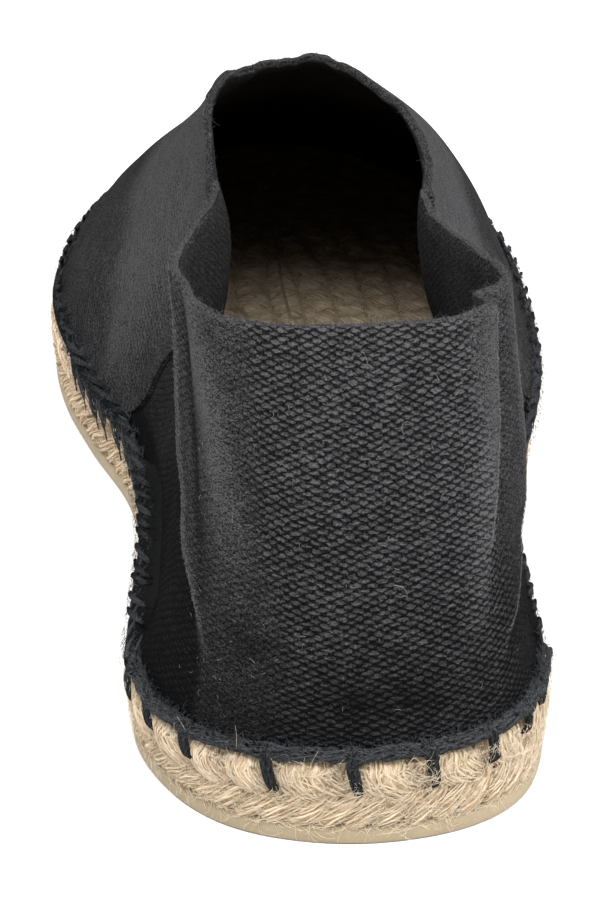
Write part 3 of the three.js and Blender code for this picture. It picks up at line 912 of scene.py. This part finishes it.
def strand_walks():
    """The walk at the middle of each upper strand and its width: one or two between heel stitches."""
    walks, widths = [], []
    for start, end in zip(HEEL_STITCHES, HEEL_STITCHES[1:] + [HEEL_STITCHES[0] - AROUND]):
        gap = start - end
        count = math.ceil(gap / 15) if gap < 20 else round(gap / STRAND_PITCH)
        walks += list(start - (np.arange(count) + 0.5) * gap / count)
        widths += [gap / count] * count
    return np.array(walks), np.array(widths)


def side_path(walks, points, count):
    """A smooth path on the sole's side. points are (forward, out, z) from the strand's walk."""
    control = np.array(points, float)
    knots = np.linspace(0, 1, len(control))
    t = np.linspace(0, 1, count)
    dense = np.stack([smooth_through(knots, control[:, c], t) for c in range(3)], 1)
    walk = walks + dense[:, 0]
    draft = SOLE_DRAFT * (MIDSOLE_TOP - dense[:, 2]) / PLAIT_HEIGHT
    out = at_walk(EDGE_OUT, walk)
    path = edge_point(walk, -dense[:, 1] + draft * out[:, 0] ** 2, dense[:, 2])
    return path, np.concatenate([out, np.zeros((count, 1))], 1)


def smooth_through(knots, values, t):
    """A smooth curve through a few values, read at t."""
    slopes = np.gradient(values, knots)
    i = np.clip(np.searchsorted(knots, t, side="right") - 1, 0, len(knots) - 2)
    span = knots[i + 1] - knots[i]
    s = (t - knots[i]) / span
    ease = s * s * (3 - 2 * s)
    value = values[i] * (1 - ease) + values[i + 1] * ease
    return value + s * (1 - s) ** 2 * span * slopes[i] - s * s * (1 - s) * span * slopes[i + 1]


def along_edge(walk):
    """The direction in which walk grows, at each walk."""
    out = at_walk(EDGE_OUT, walk)
    return np.stack([out[..., 1], -out[..., 0], np.zeros(out.shape[:-1])], -1)


def section_axes(path, out):
    """Two directions across a path: sideways, and the one that faces outwards."""
    along = unit(np.gradient(path, axis=0))
    side = unit(np.cross(along, out))
    return side, np.cross(side, along)


def bundle(soup, path, out, width, height, ribs, radius, twist, shade=0.0):
    """A plump strand of oval section, and the thin ribs of fibre that lie on its outer side."""
    side, up = section_axes(path, out)
    # The core is painted darker, as the shade between the ribs.
    soup.tube(path, side, width * 0.95, height * 0.95, 16, (0.0, -0.3 + shade))
    t = np.linspace(-0.5, 0.5, len(path))
    deep = np.zeros((len(path), 1, 2))
    for start in np.linspace(-1.75, 1.75, ribs):
        wander = RANDOM.normal(0, 0.09, 3)
        angle = start + wander[0] + twist * t + wander[1] * np.sin(7 * t) + wander[2] * np.cos(11 * t)
        rib = path + side * (np.sin(angle) * width)[:, None] + up * (np.cos(angle) * height)[:, None]
        thick = radius * RANDOM.uniform(0.7, 1.25) * (width / width.max()) ** 0.5
        # Painted shade: each rib darker towards the strand's sides and ends.
        hollow = 0.5 * np.abs(angle / 1.75) ** 3 + 0.5 * np.abs(2 * t) ** 5
        deep[:, 0, 1] = 0.10 - hollow + RANDOM.normal(shade, 0.1)
        soup.tube(rib, side, thick, thick, 4, deep)


def plait_strands():
    """The plump upper strands on the plait's side: they drop and curve aside between the stitches."""
    soup = Soup()
    for walk, pitch in zip(*strand_walks()):
        sway = RANDOM.normal(0, 0.3, 5)
        half = pitch / 2
        # The side stitch lies over the strands, except where the sole's edge is bare.
        signed = signed_walk(walk)
        under = -0.9 * smooth(54, 68, abs(signed)) + 0.7 * bare_edge(signed)
        # Upright at its top, so that it stays under the cords, and leaning below.
        lean = min(half, 5.2)
        upper = [(0.1 * lean, -3.5 + under, MIDSOLE_TOP - 2.5),
                 (0.1 * lean, -2.7 + under, MIDSOLE_TOP - 3.1),
                 (0.1 * lean + 0.3 * sway[1], -2.5 + under, MIDSOLE_TOP - 4.2),
                 (-0.35 * lean + sway[2], -2.5 + under, MIDSOLE_TOP - 6.1),
                 (-1.15 * lean + sway[3], -3.6 + under, MIDSOLE_TOP - 8.2)]
        path, out = side_path(walk, upper, 9)
        t = np.linspace(0, 1, 9)
        ease = np.sin(0.6 + t * (math.pi - 1.05)) ** 0.5
        wide = (0.55 * half + 1.3) * ease * (1.12 - 0.45 * t**2)
        near = abs(walk) < 75
        bundle(soup, path, out, wide, 2.35 * ease, 36 if near else 14, 0.17 if near else 0.26,
               RANDOM.normal(0.15, 0.15))
    return soup.build("plait_upper_strands", JUTE_LOOK)


def plait_lower_strands():
    """The thinner lower strands, which rise from over the rubber to meet the upper ones."""
    soup = Soup()
    count = round(AROUND / LOWER_PITCH)
    for walk in (np.arange(count) + 0.5) * AROUND / count:
        sway = RANDOM.normal(0, 0.3, 6)
        lower = [(4.6, -3.3, 2.7), (2.9, -2.0 + flare(walk), 3.4 + 0.5 * sway[0]),
                 (0.4 + sway[1], -1.6 + 0.7 * flare(walk), 5.0 + 0.5 * sway[2]),
                 (-2.4 + sway[3], -1.9 + 0.3 * flare(walk), 6.9 + 0.5 * sway[4]), (-4.4, -3.4, 8.6)]
        path, out = side_path(walk, lower, 8)
        ease = np.sin(np.linspace(0.45, math.pi - 0.45, 8)) ** 0.5
        near = abs(signed_walk(walk)) < 75
        bundle(soup, path, out, 1.75 * ease, 1.55 * ease, 13 if near else 7, 0.18 if near else 0.27,
               RANDOM.normal(0.4, 0.2), -0.14)
    return soup.build("plait_lower_strands", JUTE_LOOK)


# ---- The thread ----------------------------------------------------------------------------------
def yarns(soup, path, out, count, spread, radius, twist, shade=0.0, fade=0.0):
    """A few thin yarns lying side by side along a path and turning slowly round each other. They
    darken by fade towards both ends, a painted shade where the loops dive in."""
    side, up = section_axes(path, out)
    run = np.r_[0, np.cumsum(np.linalg.norm(np.diff(path, axis=0), axis=1))]
    spread = np.reshape(spread, (-1, 1)) * np.ones((len(path), 1))
    for number in range(count):
        wander = RANDOM.normal(0, 0.25, 2)
        angle = 2 * math.pi * (number + wander[0]) / count + twist * run + wander[1] * np.sin(run)
        yarn = path + (side * np.cos(angle)[:, None] + up * 0.75 * np.sin(angle)[:, None]) * spread
        thick = radius * RANDOM.uniform(0.85, 1.15) * np.minimum(1, 0.35 + spread[:, 0] / spread.max())
        tone = shade + RANDOM.uniform(-0.25, 0.25)
        mark = np.zeros((len(path), 1, 2))
        mark[:, 0, 1] = np.maximum(tone - fade * np.abs(np.linspace(-1, 1, len(path))) ** 2, -0.92)
        soup.tube(yarn, side, thick, thick, 6, mark)


def cord_inset(walk):
    """How much further in the heel's cords run beside the inner waist."""
    return 1.5 * smooth(40, 54, walk)


def heel_thread():
    """The blanket stitch round the heel: cords along the canvas's edge, and pairs of threads down
    over the plait at each stitch."""
    soup = Soup()
    ends = [63.0] + HEEL_STITCHES + [-54.0]
    for start, end in zip(ends[:-1], ends[1:]):
        steps = max(12, int(abs(start - end) * 1.8))
        t = np.linspace(-0.05, 1.07, steps)
        walk = start + (end - start) * t
        arch = np.sin(np.clip(t, 0, 1) * math.pi) ** 0.8
        out = outward(walk, 1)
        for lane in (0, 1):
            inset = 0.55 + 1.25 * lane + (0.12 - 0.1 * lane) * arch - 0.4 * lane * (1 - arch) + 0.2 * t
            inset = inset + cord_inset(walk)
            z = FEATHER_Z - 0.85 + 0.6 * lane + 0.25 * arch + 0.3 * (t - 0.5)
            fat = 0.38 + 0.08 * np.sin(walk * 0.9 + 2 * lane) + 0.06 * np.sin(walk * 2.1)
            yarns(soup, edge_point(walk, inset, z), out, 4, fat, 0.33, 0.5, 0.1 - 0.3 * lane)
    for walk in HEEL_STITCHES:
        deep = 8.3 + 1.6 * smooth(8, 34, abs(walk - 0.2))
        pull = 0.6 * smooth(20, 34, abs(walk))  # how far the thread sinks in between the strands
        for lane in (-0.52, 0.52):
            points = [(lane, -1.9, FEATHER_Z + 0.7), (lane, -0.4 - pull, FEATHER_Z - 0.1),
                      (lane * 0.95 - 0.1, 0.2 - pull, 13.4), (lane * 0.9 - 0.5, 0.2 - pull, 11.4),
                      (lane * 0.7 - 0.8, -pull, 0.5 * (11.6 + deep)), (lane * 0.4 - 1.15, -1.0 - pull, deep)]
            path, out = side_path(walk, points, 20)
            ahead = along_edge(np.full(20, walk))
            soup.tube(path, ahead, np.full(20, 0.52), np.full(20, 0.5), 9, (0.0, -0.35))
    return soup.build("heel_stitching", THREAD_LOOK)


CHAIN_START, CHAIN_END = 57.0, -49.0  # walks at which the side stitch takes over from the heel's


# Height down to which the side stitch's loops hang over the plait's side, by walk: on the big toe's
# side, and on the outer side with walk counted the other way.
REACH_MEDIAL = ([50, 115, 130, 150, 165, 180, 200, 215],
                [12.6, 12.2, 9.2, 7.6, 8.2, 10.4, 14.0, 14.2])
REACH_LATERAL = ([45, 120, 150, 180, 210],
                 [12.6, 12.0, 11.0, 11.6, 12.4])
# How far in from the sole's edge the loops lie, likewise.
INSET_MEDIAL = ([57, 100, 125, 175, 190, 215, 235, 260, 300],
                [1.0, 0.9, 0.4, 0.5, 2.2, 2.4, 1.8, 0.8, 0.9])
INSET_LATERAL = ([49, 100, 125, 140, 155, 180, 200, 215, 240, 270, 300],
                 [1.6, 1.6, 1.5, 0.8, 0.1, -0.5, -0.8, -1.3, -1.9, -0.9, 0.5])


def two_sided(walk, medial, lateral):
    """Reads the table of whichever side each walk is on."""
    signed = signed_walk(walk)
    return np.where(signed > 0, np.interp(signed, *medial), np.interp(-signed, *lateral))


def stitch_reach(walk):
    return two_sided(walk, REACH_MEDIAL, REACH_LATERAL)


def stitch_inset(walk):
    return two_sided(walk, INSET_MEDIAL, INSET_LATERAL)


def band_point(walk, share, off):
    """A point on the side stitch's band: share 0 at its tips on the plait's side, 1 on the canvas."""
    walk, share = np.asarray(walk, float), np.asarray(share, float)
    out = outward(walk, 0)
    low = stitch_reach(walk)
    foot = upper_base(walk, 0 * walk)
    from_heel = np.minimum(walk % AROUND, -walk % AROUND)
    wall = upper_base(walk, 0.15 + 0.13 * smooth(150, 190, from_heel)) + out * 0.2
    set_in = stitch_inset(walk)
    knots = np.stack([edge_point(walk, set_in, low), edge_point(walk, set_in, (low + 14.6) / 2),
                      edge_point(walk, set_in + 0.4, FEATHER_Z - 0.3),
                      foot * 0.6 + wall * 0.4 + out * 0.9, wall])
    spot = np.clip(share, 0, 1) * 4
    i = np.clip(spot.astype(int), 0, 3)
    t = (spot - i)[..., None]

    def knot(k):
        k = np.clip(k, 0, 4)
        return np.take_along_axis(knots, np.broadcast_to(k[None, ..., None], (1,) + k.shape + (3,)), 0)[0]

    a, b, c, d = knot(i - 1), knot(i), knot(i + 1), knot(i + 2)
    point = 0.5 * (2 * b + (c - a) * t + (2 * a - 5 * b + 4 * c - d) * t**2 + (3 * b - a - 3 * c + d) * t**3)
    upward = np.ones(walk.shape + (1,)) * np.clip(share * 2 - 0.3, 0, 1)[..., None]
    lift = np.concatenate([out[..., :2], upward], -1)
    lift = unit(lift)
    return point + lift * np.reshape(off, (-1,) + (1,) * (lift.ndim - 1)), lift


def outer_loop(walk, t, sway, front):
    """A leaf-shaped loop from the feather line out over the plait's edge, pointing heelwards."""
    low = stitch_reach(walk)
    drop = FEATHER_Z + 1.3 + 0.3 * sway - low
    inset = stitch_inset(walk) + (2.6 - 0.6 * front) * (1 - t) ** 1.3 - 0.3 * np.sin(math.pi * t)
    z = FEATHER_Z + 1.3 + 0.3 * sway - drop * t**1.4
    return edge_point(walk, inset, z)


def chain_thread():
    """The plaited stitch along both sides and round the toe: leaf-shaped loops over the plait's
    edge and long loops up the canvas, which meet on the feather line."""
    soup = Soup()
    for sign, first, last in ((1, CHAIN_START, TOE_WALK), (-1, -CHAIN_END, AROUND - TOE_WALK)):
        reach = first
        while reach < last - 2:
            front = smooth(112, 135, reach) * (1 - 0.5 * smooth(185, 205, reach))
            for outer in (True, False) if reach > first + 9 else (True,):
                steps = 10
                t = np.linspace(0, 1, steps)
                sway = RANDOM.normal(0, 0.3, 3)
                length = (5.6 + 4.6 * front if outer else 12.0) * RANDOM.uniform(0.85, 1.2)
                walk = sign * (reach + 3.2 - length * t)
                if outer:
                    path = outer_loop(walk, t, sway[0], front)
                    out = unit(outward(walk, 1))
                else:
                    path, out = band_point(walk, 0.5 + (0.3 - 0.1 * front + 0.05 * sway[1]) * t**1.2, 0.0)
                    path = path + out * (0.9 - 0.75 * t)[:, None]
                leaf = np.sin(np.clip(t * 1.02 + 0.12, 0, 1) * math.pi) ** 0.7
                fat = np.maximum(leaf, 0.03) * (0.8 if outer else 0.3) * RANDOM.uniform(0.8, 1.2)
                # Painted highlight and shade: the outer loops are painted lighter and the inner ones darker.
                tint = RANDOM.uniform(0.6, 1.6) if outer else RANDOM.uniform(-0.2, 0.6)
                yarns(soup, path, out, 5 if outer else 3, fat, 0.3, sign * 0.3, tint - 0.3 * front,
                      1.9 - 0.9 * front)
            reach += (5.9 + 1.6 * front) * RANDOM.uniform(0.85, 1.15)
    return soup.build("side_stitching", THREAD_LOOK)


def stitch_backing_shade():
    """A sheet painted near black under the side stitch's loops: the shade in the hollows among the thread.
    """
    soup = Soup()
    walk = np.linspace(CHAIN_START - 2, AROUND + CHAIN_END + 2, 900)
    from_end = np.minimum(walk - walk[0], walk[-1] - walk)
    front = smooth(60, 80, from_end)
    low = 0.2 + 0.14 * front
    high = 0.55 + 0.37 * smooth(0, 14, from_end) - 0.3 * front
    share = low[:, None] + (high - low)[:, None] * np.linspace(0, 1, 12)
    grid_walk = np.broadcast_to(walk[:, None], share.shape)
    points, out = band_point(grid_walk, share, 0.0)
    rise = np.linspace(0, 1, 12)[None, :]
    points = points + out * (0.35 * np.sin(rise * math.pi) - 0.6 * smooth(0.7, 1.0, rise))[..., None]
    uv = np.stack([share * 12, grid_walk], -1)
    mark = np.zeros(points.shape[:2] + (2,))
    mark[..., 1] = -0.93 + 0.3 * front[:, None]
    soup.grid(points, uv, mark)
    # Under the canvas's foot a strip painted dark, as shade, closes the corner between canvas and plait.
    walk, share = np.meshgrid(np.linspace(0, AROUND, 700), np.linspace(0, 1, 4), indexing="ij")
    strip = edge_point(walk, 1.3 + 2.3 * share, MIDSOLE_TOP - 0.6 + 1.6 * share)
    soup.grid(strip, np.stack([share * 3, walk], -1), np.zeros(walk.shape + (2,)) + (0.0, -0.8))
    return soup.build("side_stitch_backing", THREAD_LOOK)


# ---- Loose fibres --------------------------------------------------------------------------------
def hairs(soup, roots, forward, sideways, lengths, thickness, turn, steps):
    """Thin hairs that curl in the plane of two directions, each a three-sided narrowing tube."""
    t = (np.arange(steps - 1) + 0.5) / (steps - 1)
    for root, ahead, aside, length in zip(roots, forward, sideways, lengths):
        bend, second = RANDOM.normal(0, turn, 2)
        angle = bend * t + second * t * t
        moves = ahead * np.cos(angle)[:, None] + aside * np.sin(angle)[:, None]
        path = root + np.r_[np.zeros((1, 3)), np.cumsum(moves, 0)] * length / (steps - 1)
        path[:, 2] = np.maximum(path[:, 2], 0.3)  # none goes into the floor
        width = thickness * np.linspace(1, 0.4, steps)
        soup.tube(path, np.zeros((steps, 3)) + (0.31, 0.17, 0.93), width, width, 3)


def any_pair(count, out, lift):
    """Random directions close to the surface whose outward direction is given, and their sides."""
    forward = RANDOM.normal(0, 1, (count, 3))
    forward = unit(forward - out * (forward * out).sum(1, keepdims=True))
    aside = np.cross(out, forward)
    return unit(forward + out * RANDOM.uniform(0, lift, (count, 1))), aside


def tufts(soup, roots, out, lift, length, thickness, turn, steps=5, share=1.0):
    """Hairs lying every way close to a surface. length is (spread, least), and share scales it."""
    forward, aside = any_pair(len(roots), out, lift)
    spread, least = length
    lengths = (RANDOM.gamma(2.0, spread, len(roots)) + least) * share
    hairs(soup, roots, forward, aside, lengths, thickness, turn, steps)


def jute_hairs():
    """Broken fibres curling off the plait's side, thickest round the heel and along its top."""
    soup = Soup()
    count = 3400
    walk = RANDOM.normal(0, 42, count)
    far = RANDOM.random(count) < 0.3
    walk[far] = RANDOM.uniform(0, AROUND, far.sum())
    z = 2.4 + 11.4 * RANDOM.random(count)
    out = outward(walk, 0)
    draft = SOLE_DRAFT * (MIDSOLE_TOP - z) / PLAIT_HEIGHT
    roots = edge_point(walk, 0.2 + draft * out[:, 0] ** 2 - 0.8 * flare(walk), z)
    share = np.where(np.abs(signed_walk(walk)) < 62, 1.0, 0.4) * (1 - 0.6 * smooth(11, 13, z))
    tufts(soup, roots, out, 0.2, (1.0, 0.8), 0.04, 1.5, share=share)
    # Curls along the top, where the thread has pulled fibres up.
    count = 80
    walk = RANDOM.uniform(HEEL_STITCHES[-1] - 4, HEEL_STITCHES[0] + 4, count)
    out = unit(outward(walk, 0.6))
    inset = RANDOM.uniform(-0.5, 0.2, count)
    roots = edge_point(walk, inset, MIDSOLE_TOP - 1.6 + RANDOM.normal(0, 0.5, count))
    tufts(soup, roots, out, 0.3, (0.4, 0.5), 0.035, 2.4, 10)
    return soup.build("jute_hairs", JUTE_HAIR_LOOK)


def rim_fuzz():
    """Cotton fibres standing out of the raw rim of the canvas."""
    soup = Soup()
    count = 3600
    walk = RANDOM.uniform(0, AROUND, count)
    signed = signed_walk(walk)
    base = upper_base(walk, np.ones(count))
    along = unit(upper_base(walk + 0.5, np.ones(count)) - base)
    out = unit(np.cross((0.0, 0.0, 1.0), along))
    push, _ = crease_sum(signed, np.ones(count))
    roots = base + out * (push - RANDOM.uniform(0.0, CANVAS, count))[:, None]
    roots[:, 2] += throat_trim(signed)
    forward = unit(RANDOM.normal(0, 0.7, (count, 3)) + (0, 0, 0.7))
    aside = unit(np.cross(forward, RANDOM.normal(0, 1, (count, 3))))
    short = 1 - 0.6 * smooth(200, 235, np.abs(signed))
    hairs(soup, roots, forward, aside, (RANDOM.gamma(2.0, 0.3, count) + 0.2) * short, 0.03, 1.4, 4)
    return soup.build("rim_fuzz", RIM_FUZZ_LOOK)


def crest_nap_sheen():
    """Pale nap along the sharp crests of the folds, where the cloth is rubbed most, painted pale as sheen.
    """
    soup = Soup()
    for crease in CREASES:
        if crease["kind"] == "edge":
            crest_fuzz(soup, crease, 1100)
    return soup.build("crest_nap_sheen", NAP_SHEEN_LOOK)


def crest_fuzz(soup, crease, count):
    """Nap standing up along the sharp crest of a fold."""
    walks, rises, strengths = np.array(crease["path"], float).T[:, ::-1]
    rise = RANDOM.uniform(rises[2], 0.99, count)
    walk = np.interp(rise, rises, walks) + RANDOM.normal(0, 0.2, count)
    base, out = on_canvas(walk, rise)
    push, _ = crease_sum(walk, rise)
    roots = base + out * (push + rumple(walk, rise))[:, None]
    tufts(soup, roots, out, 0.7, (0.1, 0.15), 0.03, 1.4, 3)


def thread_fuzz():
    """Fibres standing off the stitching."""
    soup = Soup()
    count = 3200
    walk = RANDOM.uniform(CHAIN_START, AROUND + CHAIN_END, count)
    roots, out = band_point(walk, RANDOM.uniform(0.1, 0.75, count), 0.0)
    roots = roots + out * RANDOM.uniform(0.3, 1.0, (count, 1))
    tufts(soup, roots, out, 0.9, (0.24, 0.25), 0.045, 1.7, 4)
    count = 700
    walk = RANDOM.uniform(CHAIN_END - 4, CHAIN_START + 4, count)
    inset = RANDOM.uniform(0.7, 2.6, count) + cord_inset(walk)
    roots = edge_point(walk, inset, FEATHER_Z + RANDOM.uniform(0.2, 1.6, count))
    out = unit(outward(walk, 1))
    tufts(soup, roots, out, 0.6, (0.35, 0.3), 0.045, 1.5, 4)
    return soup.build("thread_fuzz", THREAD_FUZZ_LOOK)


def grey_fuzz():
    """The paler fibres of the stitching, on its loops and on the cords round the heel."""
    soup = Soup()
    count = 1400
    walk = RANDOM.uniform(CHAIN_START, AROUND + CHAIN_END, count)
    roots, out = band_point(walk, 0.3 + 0.5 * RANDOM.beta(1.2, 2.2, count), 0.0)
    roots = roots + out * RANDOM.uniform(0.5, 1.0, (count, 1))
    tufts(soup, roots, out, 0.4, (0.4, 0.5), 0.03, 1.2, 4)
    count = 1500
    walk = RANDOM.uniform(CHAIN_END - 4, CHAIN_START + 4, count)
    inset = RANDOM.uniform(-0.1, 1.9, count) + cord_inset(walk)
    roots = edge_point(walk, inset, FEATHER_Z + RANDOM.uniform(-0.7, 0.9, count))
    out = unit(outward(walk, 1))
    roots = roots + out * 0.35
    forward = unit(along_edge(walk) + RANDOM.normal(0, 0.35, (count, 3)))
    hairs(soup, roots, forward, np.cross(out, forward), RANDOM.gamma(2.0, 0.4, count) + 0.4, 0.028, 1.2, 5)
    return soup.build("grey_fuzz", GREY_FUZZ_LOOK)


def lint():
    """A few pale fibres caught on the canvas."""
    soup = Soup()
    count = 170
    walk = RANDOM.uniform(-45, 42, count)
    rise = RANDOM.uniform(0.02, 0.99, count)
    base, out = on_canvas(walk, rise)
    push, _ = crease_sum(walk, rise)
    roots = base + out * (push + rumple(walk, rise) * smooth(0, 0.2, rise) + 0.08)[:, None]
    forward, aside = any_pair(count, out, 0.1)
    hairs(soup, roots, forward, aside, RANDOM.gamma(1.2, 0.5, count) + 0.12, 0.04, 1.6, 6)
    return soup.build("lint", LINT_LOOK)


# ---- Putting the shoe together -------------------------------------------------------------------
def own(piece, node):
    """Makes a piece ride on the shoe's one body, and hides the CAD node that it stands for."""
    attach(piece, "root")
    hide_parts(node)


for make, node in [
        (quarter, "upper"), (vamp, "upper"), (outsole, "outsole"), (plait_core, "midsole"),
        (plait_strands, "midsole"), (plait_lower_strands, "midsole"), (jute_hairs, "midsole"),
        (heel_thread, "upper"), (stitch_backing_shade, "upper"), (chain_thread, "upper"),
        (thread_fuzz, "upper"), (grey_fuzz, "upper"), (rim_fuzz, "upper"), (crest_nap_sheen, "upper"),
        (lint, "upper")]:
    own(make(), node)


# ---- Floor, light and camera ---------------------------------------------------------------------
def studio():
    """A pale floor and an even white surround."""
    floor = Soup()
    reach = 3000.0
    corners = np.array([[[-reach, -reach, 0], [-reach, reach, 0]], [[reach, -reach, 0], [reach, reach, 0]]])
    floor.grid(corners, corners[..., :2] * 1.0)
    n = Nodes("pale_floor")
    mottle = n.noise(n.cloth()[0], 0.02)
    look = n.finish(n.mix(mottle, (0.90, 0.90, 0.90, 1), (0.93, 0.93, 0.93, 1)), mottle, 0.01, 0.9)
    floor.build("floor", look)
    world = bpy.data.worlds.new("studio")
    bpy.context.scene.world = world
    world.use_nodes = True
    world.node_tree.nodes["Background"].inputs["Color"].default_value = (1, 1, 1, 1)
    world.node_tree.nodes["Background"].inputs["Strength"].default_value = 0.75


def lamp(name, at, aim, size, power):
    """A soft rectangular light at a place on the last's own axes, aimed at another."""
    data = bpy.data.lights.new(name, "AREA")
    data.shape = "RECTANGLE"
    data.size, data.size_y = size[0] * MM, size[1] * MM
    data.energy = power
    light = bpy.data.objects.new(name, data)
    bpy.context.scene.collection.objects.link(light)
    at, aim = place(at), place(aim)
    light.location = at
    direction = aim - at
    flat = math.hypot(direction[0], direction[1])
    heading = math.atan2(direction[1], direction[0])
    light.rotation_euler = (math.atan2(flat, -direction[2]), 0, heading - math.pi / 2)


def camera():
    """Behind the heel, a little to the big toe's side, looking down along the shoe."""
    data = bpy.data.cameras.new("camera")
    data.sensor_width = 36
    data.lens = 135.32
    data.clip_start, data.clip_end = 0.01, 20
    eye = bpy.data.objects.new("camera", data)
    bpy.context.scene.collection.objects.link(eye)
    eye.location = place((-29.1, -446.7, 276.0))
    eye.rotation_euler = (math.radians(65), 0, math.radians(-2.9))
    bpy.context.scene.camera = eye


studio()
lamp("key", (-150, -350, 900), (0, 90, 40), (700, 500), 14)
lamp("right_fill", (600, 0, 450), (0, 100, 40), (500, 500), 5)
camera()
bpy.context.scene.view_settings.view_transform = "Standard"
